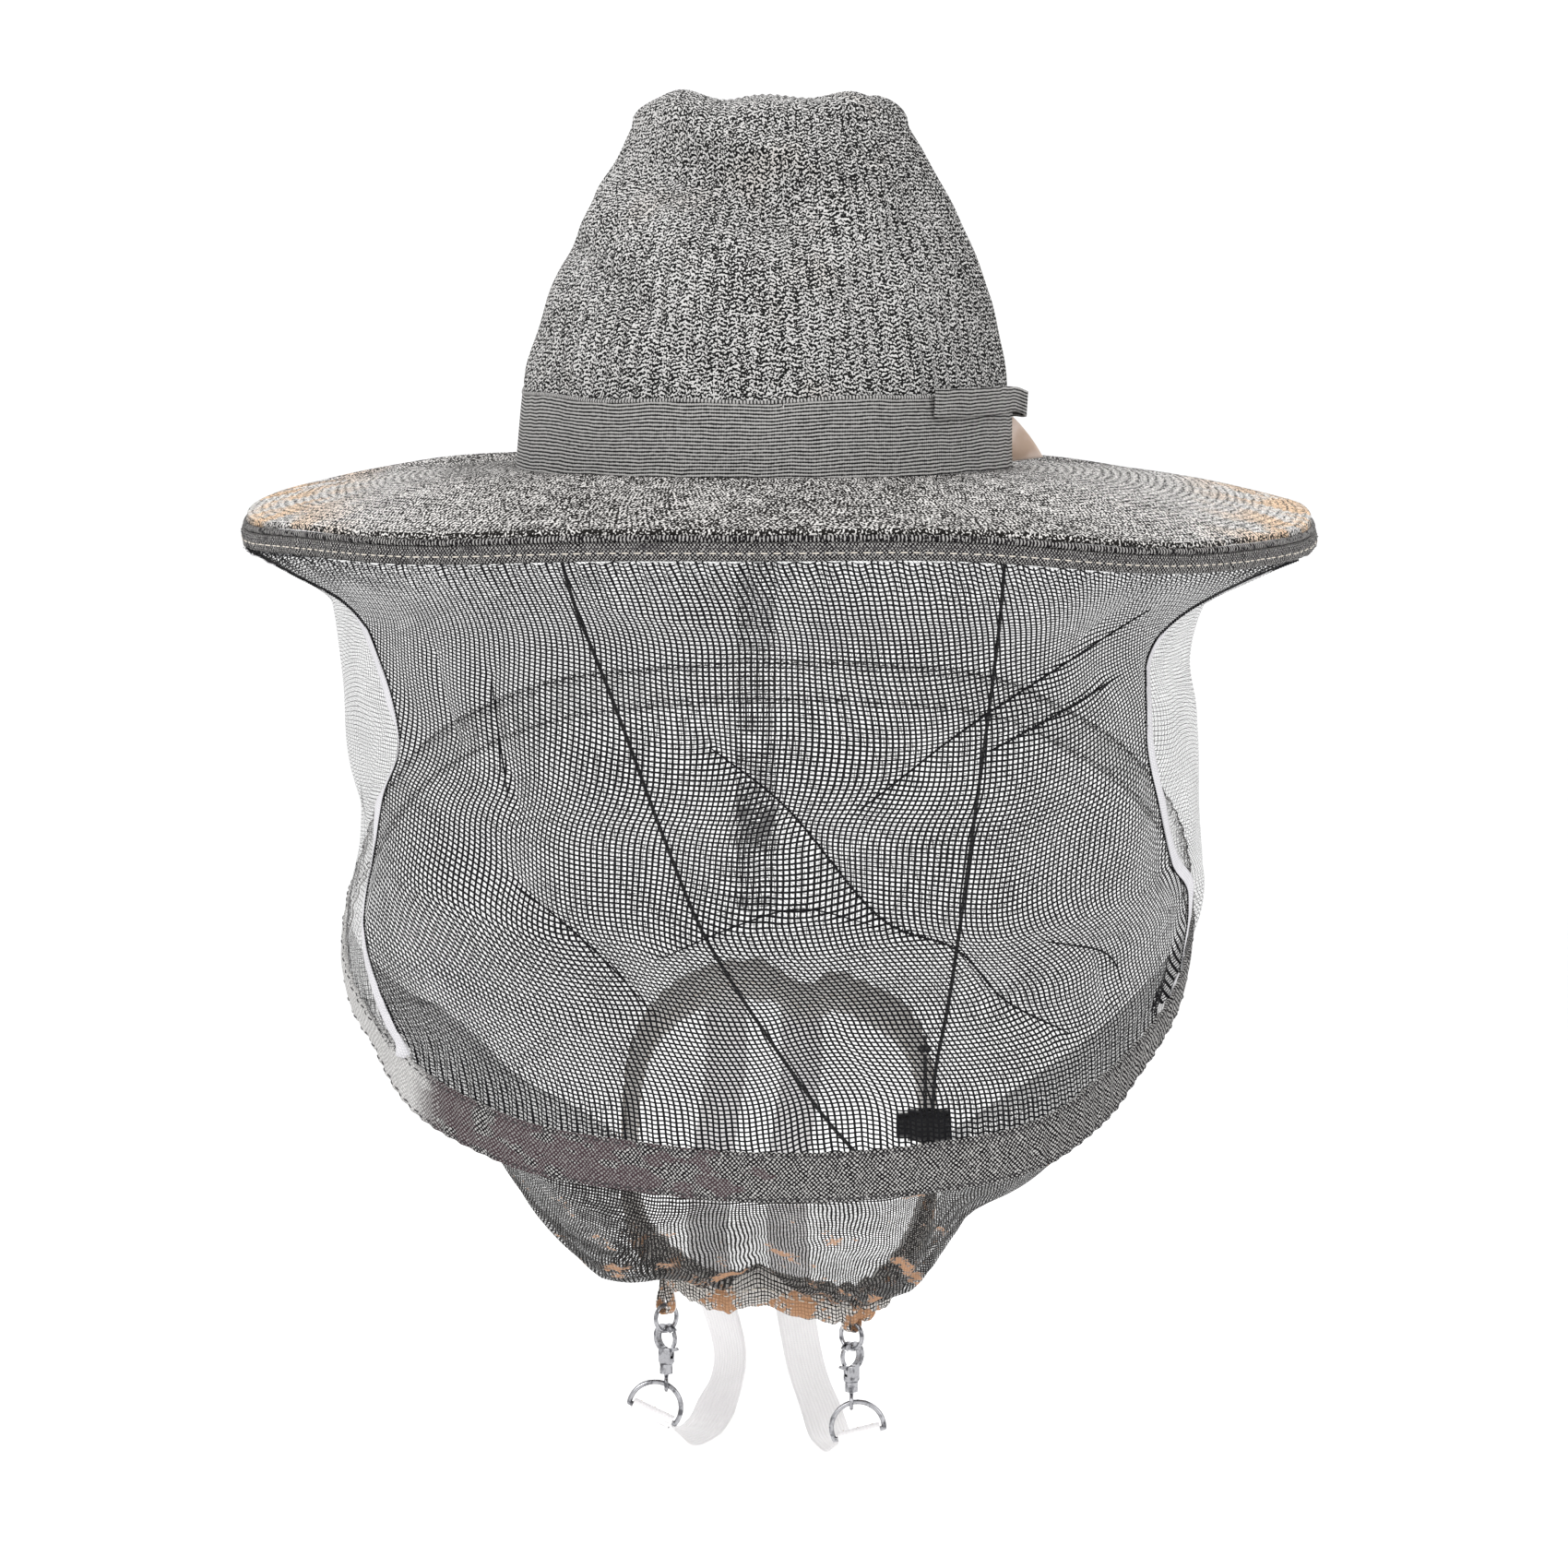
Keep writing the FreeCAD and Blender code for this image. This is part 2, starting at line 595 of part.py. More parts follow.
def swivel_post(side, place):
    """A headed post that turns in the collar and ends in the eye that holds the D-ring."""
    head_at = Placement(Vector(0, 0, body_low - 1.6), Rotation())
    head = primitive("Cylinder", f"PostHead_{side}", place * head_at,
                     Radius="Dims.post_radius + 0.5", Height="Dims.post_head_height")
    shank_low = eye_level + dim("eye_radius")
    shank_at = Placement(Vector(0, 0, shank_low), Rotation())
    shank = primitive("Cylinder", f"PostShank_{side}", place * shank_at, Radius="Dims.post_radius")
    shank.Height = body_low - 1.2 - shank_low
    eye_at = Placement(Vector(0, 0, eye_level), Rotation(Vector(0, 1, 0), 90))
    eye = primitive("Torus", f"PostEye_{side}", place * eye_at,
                    Radius1="Dims.eye_radius", Radius2="Dims.eye_wire")
    return node(fuse(f"SwivelPost_{side}", [head, shank, eye]), f"swivel_post_{side}")


def d_ring(side, place):
    """A wire ring: a half-round arc over a straight bar, hung in the post's eye."""
    half, height, wire = dim("d_bar") / 2, dim("d_height"), dim("d_wire")
    bar_start, bar_end = Vector(-half, 0, -height), Vector(half, 0, -height)
    arc = Part.Arc(bar_start, Vector(0, 0, 0), bar_end).toShape()
    section = Part.Circle(bar_start, arc.tangentAt(arc.FirstParameter), wire)
    bow = Part.Wire(arc).makePipeShell([Part.Wire(section.toShape())], True, True)
    bar = Part.makeCylinder(wire, 2 * half, bar_start, Vector(1, 0, 0))
    corners = [Part.makeSphere(wire, end) for end in (bar_start, bar_end)]
    shape = bow.multiFuse([bar] + corners).removeSplitter()
    return node(feature(f"DRing_{side}", shape, place), f"d_ring_{side}")


def hem_ring(side, place):
    local = Placement(Vector(0, 0, -ring_r), Rotation(Vector(1, 0, 0), 90))
    obj = primitive("Torus", f"HemRing_{side}", place * local,
                    Radius1="Dims.ring_radius", Radius2="Dims.ring_wire")
    return node(obj, f"hem_ring_{side}")


def ring_tab(side, place):
    """A folded cloth loop sewn under the casing; the hem ring runs through it."""
    half = dim("tab_width") / 2
    lying = Placement(Vector(-half, 0, 0), Rotation(Vector(0, 1, 0), 90))
    outside = primitive("Cylinder", f"TabOutside_{side}", place * lying,
                        Radius="Dims.tab_radius", Height="Dims.tab_width")
    hole = primitive("Cylinder", f"TabHole_{side}", place * lying,
                     Radius="Dims.tab_hole", Height="Dims.tab_width")
    return node(boolean("Cut", f"RingTab_{side}", outside, hole), f"ring_tab_{side}")


# ---------------------------------------------------------------- straps and cords

def rounded_route(points, name):
    """Straight runs joined by tangent arcs; each arc is as large as its two runs allow."""
    corners = [Vector(*p) for p in points]
    edges, radii, start = [], [], corners[0]
    for before, here, after in zip(corners, corners[1:], corners[2:]):
        arrive, leave = here - before, after - here
        half_turn = arrive.getAngle(leave) / 2
        short = 0.45 * min(arrive.Length, leave.Length)
        enter = here - arrive.normalize() * short
        leave_at = here + leave.normalize() * short
        radius = short / math.tan(half_turn)
        bisector = (leave - arrive).normalize()
        middle = here + bisector * (radius / math.cos(half_turn) - radius)
        edges.append(Part.LineSegment(start, enter).toShape())
        edges.append(Part.Arc(enter, middle, leave_at).toShape())
        radii.append(round(radius, 1))
        start = leave_at
    edges.append(Part.LineSegment(start, corners[-1]).toShape())
    wire = Part.Wire(edges)
    print(name, "length", round(wire.Length, 1), "radii", radii)
    return wire


def swept(name, route, profile, section):
    """A solid swept along a route, checked against its section times its length."""
    solid = route.makePipeShell([profile], True, False)
    print(name, "volume share", round(solid.Volume / (section * route.Length), 3))
    return feature(name, solid)


def cord(label, points):
    route = rounded_route(points, label)
    first = route.Edges[0]
    circle = Part.Circle(Vector(*points[0]), first.tangentAt(first.FirstParameter), dim("cord_radius"))
    area = math.pi * dim("cord_radius") ** 2
    return node(swept(f"Cord_{label}", route, Part.Wire(circle.toShape()), area), label)


def ribbon_strip(label, points, width, thickness):
    """A flat strap whose route lies near the YZ plane: the width runs along X all the way."""
    route = rounded_route(points, label)
    first = route.Edges[0]
    along = first.tangentAt(first.FirstParameter)
    across = (Vector(1, 0, 0) - along * along.x).normalize() * (width / 2)
    outward = along.cross(across).normalize() * (thickness / 2)
    at = Vector(*points[0])
    corners = [at + across + outward, at - across + outward, at - across - outward, at + across - outward]
    profile = Part.makePolygon(corners + corners[:1])
    sweep = Part.BRepOffsetAPI.MakePipeShell(route)
    sweep.setBiNormalMode(Vector(1, 0, 0))
    sweep.add(profile)
    sweep.build()
    sweep.makeSolid()
    solid = sweep.shape()
    print(label, "volume share", round(solid.Volume / (width * thickness * route.Length), 3))
    return node(feature(f"Strip_{label}", solid), label)


strap_w, strap_t = dim("strap_width"), dim("strap_thickness")
HEM_BACK_Y = neck_cy + neck_y
HEM_BACK_Z = neck_level(0, HEM_BACK_Y) - casing_h


def strap_end(side, d_place, lean, meet):
    """The strap's end: folded round the D-ring's bar, then turned back under it to the hanging part."""
    bar = d_place.multVec(Vector(0, 0, -dim("d_height")))
    fold_r = dim("d_wire") + 0.3
    half = strap_w / 2
    along_bar = Vector(1, 0, 0)
    outside = Part.makeCylinder(fold_r + strap_t, strap_w, along_bar * -half, along_bar)
    inside = Part.makeCylinder(fold_r, strap_w, along_bar * -half, along_bar)
    fold = outside.cut(inside)
    fold.Placement = Placement(bar, Rotation(Vector(0, 1, 0), lean))
    low = fold.Placement.multVec(Vector(0, 0, -fold_r - strap_t / 2))
    bar_axis = fold.Placement.Rotation.multVec(along_bar)
    # centre line of the turned-back part, with its direction at each place
    drop, run = low.z - meet.z, meet.y - low.y
    line = (
        (0.0, low, Vector(0, 1, -0.2)),
        (0.2, Vector(between(low.x, meet.x, 0.15), low.y + 0.12 * run, low.z - 0.25 * drop),
         Vector(0, 1, -1)),
        (0.5, Vector(between(low.x, meet.x, 0.45), low.y + 0.35 * run, low.z - 0.8 * drop),
         Vector(0, 1, -0.4)),
        (0.8, Vector(between(low.x, meet.x, 0.8), low.y + 0.7 * run, meet.z), Vector(0, 1, 0)),
        (1.0, meet, Vector(0, 1, 0)),
    )
    sections = []
    for share, at, along in line:
        wide = bar_axis * (1 - share) + along_bar * share
        along = along.normalize()
        wide = (wide - along * wide.dot(along)).normalize() * half
        out = along.cross(wide).normalize() * (strap_t / 2)
        corners = [at + wide + out, at - wide + out, at - wide - out, at + wide - out]
        sections.append(Part.makePolygon(corners + corners[:1]))
    turned_back = Part.makeLoft(sections, True, True)
    return node(feature(f"StrapEnd_{side}", fold.fuse(turned_back)), f"strap_end_{side}")


# Each side: which side of the hook the trigger is on, the D-ring's lean in degrees, where the strap
# is sewn to the back hem, and where the hanging strap meets its folded end.
SIDES = {
    "left": {"mirror": 1, "lean": 26, "sewn_x": -20.0, "meet": (-27.0, 2.0, -345.5)},
    "right": {"mirror": -1, "lean": -14, "sewn_x": 8.0, "meet": (18.0, 0.0, -347.5)},
}

for side, spec in SIDES.items():
    tab = Vector(dim(f"{side}_tab_x"), dim(f"{side}_tab_y"), dim(f"{side}_tab_z"))
    mirror = spec["mirror"]
    ring_place = chain_placement(tab.x, tab.y, tab.z, mirror * RING_TURN)
    hook_place = chain_placement(tab.x, tab.y, tab.z - hook_drop, mirror * HOOK_TURN)
    ring_tab(side, ring_place)
    hem_ring(side, ring_place)
    clasp_body(side, hook_place, mirror)
    clasp_trigger(side, hook_place, mirror)
    trigger_pin(side, hook_place, mirror)
    trigger_spring(side, hook_place)
    swivel_post(side, chain_placement(tab.x, tab.y, tab.z - hook_drop, 0))
    eye_low = tab.z - hook_drop + eye_level - dim("eye_radius") + dim("eye_wire")
    lean = spec["lean"]
    d_place = Placement(Vector(tab.x, tab.y, eye_low + dim("d_wire") + gap), Rotation(Vector(0, 1, 0), lean))
    d_ring(side, d_place)
    meet = Vector(*spec["meet"])
    strap_end(side, d_place, lean, meet)
    # the hanging strap, from the back hem down and forward to the folded end
    sewn = Vector(spec["sewn_x"], HEM_BACK_Y + 0.5, HEM_BACK_Z - 0.2)
    drift = meet.x - sewn.x
    ribbon_strip(f"strap_{side}", [
        tuple(sewn),
        (sewn.x + 0.02 * drift, sewn.y + 0.5, sewn.z - 26),
        (sewn.x + 0.15 * drift, sewn.y - 5, sewn.z - 60),
        (sewn.x + 0.35 * drift, sewn.y - 17, sewn.z - 93),
        (sewn.x + 0.6 * drift, sewn.y - 36, meet.z + 20),
        (sewn.x + 0.85 * drift, sewn.y - 55, meet.z + 4),
        (meet.x, meet.y + 0.8, meet.z),
    ], strap_w, strap_t)

# Chin cord: an eyelet at each side of the head opening, two cords, and a spring lock on both.
lock = Vector(dim("lock_x"), dim("lock_y"), dim("lock_z"))
spacing = dim("cord_spacing") / 2
eyelet_x, eyelet_y, eyelet_low = dim("eyelet_x"), dim("eyelet_y"), 2 - dim("eyelet_height")
for side, sign in (("left", -1), ("right", 1)):
    place = Placement(Vector(sign * eyelet_x, eyelet_y, eyelet_low), Rotation())
    outer = primitive("Cylinder", f"EyeletOutside_{side}", place,
                      Radius="Dims.eyelet_radius", Height="Dims.eyelet_height")
    inner = primitive("Cylinder", f"EyeletHole_{side}", place,
                      Radius="Dims.cord_radius + 0.4", Height="Dims.eyelet_height")
    node(boolean("Cut", f"CordEyelet_{side}", outer, inner), f"cord_eyelet_{side}")

left_tail_x, right_tail_x = lock.x - spacing, lock.x + spacing
cord("chin_cord_left", [
    (-eyelet_x, eyelet_y, eyelet_low), (-79.9, -8, -20), (-74, -10, -44), (-59.5, -13, -79),
    (-41.5, -17, -128), (-28.5, -20, -161), (-14.5, -23, -184), (2.5, -26, -209), (17, -29, -229),
    (29, -30.5, -242), (39, -30.2, -250), (47.6, -30, -250.6), (51.9, -30, -242.6),
    (left_tail_x, -30, -231), (left_tail_x + 0.2, -30, -215), (left_tail_x, -30, -205),
])
cord("chin_cord_right", [
    (eyelet_x, eyelet_y, eyelet_low), (80.6, -8.6, -24), (78.5, -10.5, -52), (73.5, -14.5, -92),
    (68, -18.5, -132), (63.4, -22.5, -166), (59.6, -26.5, -190), (55.6, -29.6, -208),
    (right_tail_x, -30, -222), (right_tail_x + 0.1, -30, -236), (right_tail_x, -30, -248),
])
for side, x, z in (("left", left_tail_x, -205), ("right", right_tail_x, -248)):
    sign = 1 if side == "left" else -1
    knot = primitive("Sphere", f"CordKnot_{side}", Placement(
        Vector(x, lock.y, z + sign * (dim("knot_radius") + 0.05)), Rotation()), Radius="Dims.knot_radius")
    node(knot, f"cord_knot_{side}")

along_x = Rotation(Vector(0, 1, 0), 90)
half_lock = dim("lock_length") / 2


def lock_cylinder(name, radius, length, start_x):
    obj = primitive("Cylinder", name, Placement(Vector(start_x, lock.y, lock.z), along_x), Radius=radius)
    obj.Height = length
    return obj


def lock_slot(name, low_x, high_x, width):
    """The passage for both cords, straight through from top to bottom."""
    obj = doc.addObject("Part::Box", name)
    reach = 2 * dim("lock_radius") + 2
    obj.Length, obj.Width, obj.Height = high_x - low_x, width, reach
    obj.Placement = Placement(Vector(low_x, lock.y - width / 2, lock.z - reach / 2), Rotation())
    return obj


SLOT_HALF = 3.6
SLOT_WIDTH = 4.4
PRESS = 2.5
barrel_solid = lock_cylinder("BarrelOutside", "Dims.lock_radius", 2 * half_lock, lock.x - half_lock)
barrel_bore = lock_cylinder("BarrelBore", "Dims.plunger_radius + 0.3", 2 * half_lock - dim("lock_wall"),
                            lock.x - half_lock)
barrel_tube = boolean("Cut", "BarrelTube", barrel_solid, barrel_bore)
node(boolean("Cut", "LockBarrel", barrel_tube,
             lock_slot("BarrelSlot", lock.x - SLOT_HALF, lock.x + SLOT_HALF, SLOT_WIDTH)),
     "cord_lock_barrel")
spring_length = dim("lock_spring_length")
stem_end = lock.x + half_lock - dim("lock_wall") - spring_length - 0.2
stem_start = lock.x - half_lock - dim("button_length")
stem = lock_cylinder("PlungerStem", "Dims.plunger_radius", stem_end - stem_start, stem_start)
node(boolean("Cut", "LockPlunger", stem,
             lock_slot("PlungerSlot", lock.x - SLOT_HALF - PRESS, lock.x + SLOT_HALF - 0.1, SLOT_WIDTH)),
     "cord_lock_plunger")
coil_outside = lock_cylinder("LockSpringOutside", "Dims.plunger_radius - 1", spring_length, stem_end + 0.1)
coil_inside = lock_cylinder("LockSpringInside", "Dims.plunger_radius - 1.9", spring_length, stem_end + 0.1)
node(boolean("Cut", "LockSpring", coil_outside, coil_inside), "cord_lock_spring")

# ---------------------------------------------------------------- check and write

doc.recompute()
problems = [f"{o.Name}: {o.State}" for o in doc.Objects if {"Invalid", "Error"} & set(o.State)]
for obj in nodes:
    if obj.Shape.isNull() or not obj.Shape.isValid() or obj.Shape.Volume <= 0:
        problems.append(f"{obj.Label}: bad shape")
if problems:
    raise SystemExit("\n".join(problems))

os.makedirs("parts", exist_ok=True)
for obj in nodes:
    obj.Shape.exportStep(f"parts/{obj.Label}.step")
    print(f"{obj.Label:24s} solids {len(obj.Shape.Solids)} volume {obj.Shape.Volume:10.1f}")
print(len(nodes), "nodes")
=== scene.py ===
import math

import bpy
import numpy as np
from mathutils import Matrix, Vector


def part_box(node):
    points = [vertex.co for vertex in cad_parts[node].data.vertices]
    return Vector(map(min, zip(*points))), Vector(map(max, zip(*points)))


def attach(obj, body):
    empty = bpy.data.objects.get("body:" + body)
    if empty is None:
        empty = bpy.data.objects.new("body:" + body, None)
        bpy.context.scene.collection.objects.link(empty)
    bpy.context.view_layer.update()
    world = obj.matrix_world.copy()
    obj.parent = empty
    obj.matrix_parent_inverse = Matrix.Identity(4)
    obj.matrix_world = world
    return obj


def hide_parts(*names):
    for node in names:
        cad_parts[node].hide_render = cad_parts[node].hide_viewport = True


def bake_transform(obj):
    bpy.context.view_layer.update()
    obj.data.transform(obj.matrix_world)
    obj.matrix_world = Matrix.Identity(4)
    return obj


# The looks of a beekeeping veil: knitted straw hat, black net, cloth skirt, chin cord and underarm straps.
# Shapes are worked out in millimetres in the row frame and written in metres.
MM = 0.001
TAU = 2 * math.pi

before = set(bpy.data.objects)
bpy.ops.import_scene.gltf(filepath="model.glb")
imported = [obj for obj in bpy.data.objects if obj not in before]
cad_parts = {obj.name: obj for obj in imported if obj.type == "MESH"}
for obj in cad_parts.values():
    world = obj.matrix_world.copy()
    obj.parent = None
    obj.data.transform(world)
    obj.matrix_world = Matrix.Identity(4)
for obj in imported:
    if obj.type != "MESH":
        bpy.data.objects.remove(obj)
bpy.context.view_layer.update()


# ---------------------------------------------------------------- camera and light

def aim(obj, target):
    direction = Vector(target) - obj.location
    obj.rotation_euler = direction.to_track_quat("-Z", "Y").to_euler()


CAMERA_DISTANCE, CAMERA_ELEVATION = 2.0, math.radians(5.5)
CAMERA_TARGET = (0.0017, 0.0, -0.1115)


def add_camera():
    data = bpy.data.cameras.new("Camera")
    data.lens = 128.3
    data.sensor_width = 36
    data.clip_start, data.clip_end = 0.05, 20
    cam = bpy.data.objects.new("Camera", data)
    bpy.context.scene.collection.objects.link(cam)
    cam.location = (CAMERA_TARGET[0], -CAMERA_DISTANCE * math.cos(CAMERA_ELEVATION),
                    CAMERA_TARGET[2] + CAMERA_DISTANCE * math.sin(CAMERA_ELEVATION))
    aim(cam, CAMERA_TARGET)
    bpy.context.scene.camera = cam


def add_light(name, location, target, size, power):
    data = bpy.data.lights.new(name, "AREA")
    data.shape = "SQUARE"
    data.size = size
    data.energy = power
    lamp = bpy.data.objects.new(name, data)
    bpy.context.scene.collection.objects.link(lamp)
    lamp.location = location
    aim(lamp, target)


add_camera()
add_light("key_light", (-1.5, -2.2, 1.5), (0, 0, -0.1), 1.6, 34)
add_light("fill_light", (2.0, -1.8, 0.5), (0, 0, -0.1), 1.8, 14)
add_light("top_light", (0.0, 0.4, 2.2), (0, 0, 0), 1.8, 22)
add_light("back_light", (0.3, 2.2, 0.9), (0, 0, -0.1), 1.6, 16)

world = bpy.data.worlds.new("Studio")
bpy.context.scene.world = world
world.use_nodes = True
world.node_tree.nodes["Background"].inputs["Color"].default_value = (1.0, 1.0, 1.0, 1.0)
world.node_tree.nodes["Background"].inputs["Strength"].default_value = 0.85
bpy.context.scene.view_settings.view_transform = "Standard"
bpy.context.scene.cycles.transparent_max_bounces = 24


# ---------------------------------------------------------------- numbers and curves

def smooth(xs, ys, x):
    """Monotone cubic through the given points."""
    xs, ys, x = np.asarray(xs, float), np.asarray(ys, float), np.asarray(x, float)
    h = np.diff(xs)
    d = np.diff(ys) / h
    m = np.zeros(len(xs))
    m[0], m[-1] = d[0], d[-1]
    for i in range(1, len(xs) - 1):
        if d[i - 1] * d[i] > 0:
            w1, w2 = 2 * h[i] + h[i - 1], h[i] + 2 * h[i - 1]
            m[i] = (w1 + w2) / (w1 / d[i - 1] + w2 / d[i])
    k = np.clip(np.searchsorted(xs, x) - 1, 0, len(h) - 1)
    t = np.clip((x - xs[k]) / h[k], 0, 1)
    t2, t3 = t * t, t * t * t
    return ((2 * t3 - 3 * t2 + 1) * ys[k] + (t3 - 2 * t2 + t) * h[k] * m[k]
            + (3 * t2 - 2 * t3) * ys[k + 1] + (t3 - t2) * h[k] * m[k + 1])


def between(low, high, share):
    return low + (high - low) * share


def ease(low, high, x):
    t = np.clip((x - low) / (high - low), 0, 1)
    return t * t * (3 - 2 * t)


def bump(x, centre, width):
    return np.exp(-((x - centre) / width) ** 2)


def noise(points, size, seed):
    """Smooth noise from about -1 to 1 over points in mm; size is its typical feature in mm."""
    rng = np.random.default_rng(seed)
    total = np.zeros(points.shape[:-1])
    for _ in range(9):
        wave = rng.normal(size=3)
        wave *= TAU / (size * rng.uniform(1.6, 3.4)) / np.linalg.norm(wave)
        total += np.sin(points @ wave + rng.uniform(0, TAU))
    return total / 4.5


def segment_distance(px, pz, a, b):
    """Distance from (px, pz) to the segment a-b, and the share along it."""
    ax, az = a
    dx, dz = b[0] - ax, b[1] - az
    t = np.clip(((px - ax) * dx + (pz - az) * dz) / (dx * dx + dz * dz), 0, 1)
    return np.hypot(px - ax - t * dx, pz - az - t * dz), t


def polyline_distance(px, pz, line):
    best = np.full(np.shape(px), 1e9)
    for a, b in zip(line, line[1:]):
        best = np.minimum(best, segment_distance(px, pz, a, b)[0])
    return best


def unit(vectors):
    """Vectors along the last axis, each scaled to length 1."""
    return vectors / np.linalg.norm(vectors, axis=-1, keepdims=True)


def run_along(line):
    """Running length of a polyline, starting at 0."""
    return np.concatenate([[0], np.cumsum(np.linalg.norm(np.diff(line, axis=0), axis=1))])


def points_at(places, run, line):
    """Points of a polyline at the given distances along it."""
    return np.stack([np.interp(places, run, column) for column in np.transpose(line)], 1)


def full_turn(count):
    """Evenly spaced angles once round, without the last one."""
    return np.linspace(0, TAU, count, endpoint=False)


def crossed(across, down):
    """A grid of (u, v) pairs from one list along its columns and one down its rows."""
    return np.stack(np.broadcast_arrays(np.asarray(across)[None, :], np.asarray(down)[:, None]), 2)


def centre_of(node):
    """The middle of a CAD node's box, in mm."""
    low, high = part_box(node)
    return np.array((low + high) / 2) / MM


def closed(line):
    """A ring of points with its first point again at its end."""
    return np.concatenate([line, line[:1]])


def superellipse(angle, half_x, half_y, power):
    c, s = np.cos(angle), np.sin(angle)
    x = half_x * np.sign(c) * np.abs(c) ** (2 / power)
    y = half_y * np.sign(s) * np.abs(s) ** (2 / power)
    return x, y


# ---------------------------------------------------------------- meshes

def new_object(name, vertices, faces, material, uv=None):
    """A mesh object from mm vertices. uv is one (u, v) pair to each face corner, in face order."""
    mesh = bpy.data.meshes.new(name)
    mesh.from_pydata((np.asarray(vertices, float) * MM).tolist(), [], [list(f) for f in faces])
    if uv is not None:
        layer = mesh.uv_layers.new(name="UVMap")
        layer.data.foreach_set("uv", np.asarray(uv, np.float32).ravel())
    mesh.polygons.foreach_set("use_smooth", [True] * len(mesh.polygons))
    mesh.materials.append(material)
    mesh.update()
    obj = bpy.data.objects.new(name, mesh)
    bpy.context.scene.collection.objects.link(obj)
    return obj


def grid(name, points, material, uv=None, wrap=False):
    """A sheet of quads over points[row, column]; wrap joins the last column to the first.
    uv[row, column] has one more column than points where it wraps."""
    rows, cols = points.shape[:2]
    last = cols if wrap else cols - 1
    r, c = np.meshgrid(np.arange(rows - 1), np.arange(last), indexing="ij")
    r, c = r.ravel(), c.ravel()
    n = (c + 1) % cols
    faces = np.stack([r * cols + c, r * cols + n, (r + 1) * cols + n, (r + 1) * cols + c], 1)
    if uv is not None:
        uv = np.stack([uv[r, c], uv[r, c + 1], uv[r + 1, c + 1], uv[r + 1, c]], 1).reshape(-1, 2)
    return new_object(name, points.reshape(-1, 3), faces, material, uv)


def thicken(obj, thickness, offset=-1.0):
    modifier = obj.modifiers.new("Thickness", "SOLIDIFY")
    modifier.thickness = thickness * MM
    modifier.offset = offset
    return obj


def normals_of(points, wrap):
    """Unit normals of a grid of points."""
    if wrap:
        along = np.roll(points, -1, 1) - np.roll(points, 1, 1)
    else:
        along = np.gradient(points, axis=1)
    down = np.gradient(points, axis=0)
    normal = np.cross(along, down)
    return normal / np.maximum(np.linalg.norm(normal, axis=2, keepdims=True), 1e-9)


def lengths_along(points, axis):
    """Running length of a grid of points along one axis, starting at 0."""
    steps = np.linalg.norm(np.diff(points, axis=axis), axis=2)
    zero = np.zeros_like(np.take(steps, [0], axis=axis))
    return np.concatenate([zero, np.cumsum(steps, axis=axis)], axis=axis)


def frames_along(line):
    """Tangents of a polyline and two turning-free directions across it."""
    tangent = unit(np.gradient(line, axis=0))
    side = unit(np.cross(tangent[0], [0.3, 1.0, 0.2]))
    sides = []
    for t in tangent:
        side = unit(side - t * (side @ t))
        sides.append(side)
    sides = np.array(sides)
    return tangent, sides, np.cross(tangent, sides)


def tube(name, line, radius, material, around=12, pitch=None, lobes=0, depth=0.0, capped=True):
    """A tube along a polyline in mm; lobes wound with the given pitch make a braid or a coil."""
    line = np.asarray(line, float)
    _, a, b = frames_along(line)
    run = run_along(line)
    angle = full_turn(around)
    grown = np.full((len(line), around), float(radius))
    if lobes:
        grown += depth * np.cos(lobes * angle[None, :]) * np.cos(TAU * run[:, None] / pitch)
    ring = a[:, None, :] * np.cos(angle)[None, :, None] + b[:, None, :] * np.sin(angle)[None, :, None]
    points = line[:, None, :] + ring * grown[:, :, None]
    uv = crossed(np.linspace(0, 1, around + 1), run)
    obj = grid(name, points, material, uv, wrap=True)
    if capped:
        cap_ends(obj, len(line), around)
    return obj


def cap_ends(obj, rows, around):
    """Closes a tube's two ends with flat caps."""
    mesh = obj.data
    verts = [v.co[:] for v in mesh.vertices]
    faces = [list(p.vertices) for p in mesh.polygons]
    uv = [tuple(d.uv) for d in mesh.uv_layers[0].data]
    faces.append(list(range(around))[::-1])
    faces.append([(rows - 1) * around + i for i in range(around)])
    uv += [(i / around, 0.0) for i in range(around)] * 2
    fresh = bpy.data.meshes.new(mesh.name)
    fresh.from_pydata(verts, [], faces)
    layer = fresh.uv_layers.new(name="UVMap")
    layer.data.foreach_set("uv", np.array(uv, np.float32).ravel())
    fresh.polygons.foreach_set("use_smooth", [True] * (len(faces) - 2) + [False] * 2)
    fresh.materials.append(mesh.materials[0])
    obj.data = fresh


def ring_faces(base, rings, around):
    """Quads between rings of vertices that follow one another from the vertex numbered base."""
    faces = []
    for low in range(base, base + around * (rings - 1), around):
        for k in range(around):
            n = (k + 1) % around
            faces.append([low + k, low + n, low + around + n, low + around + k])
    return faces


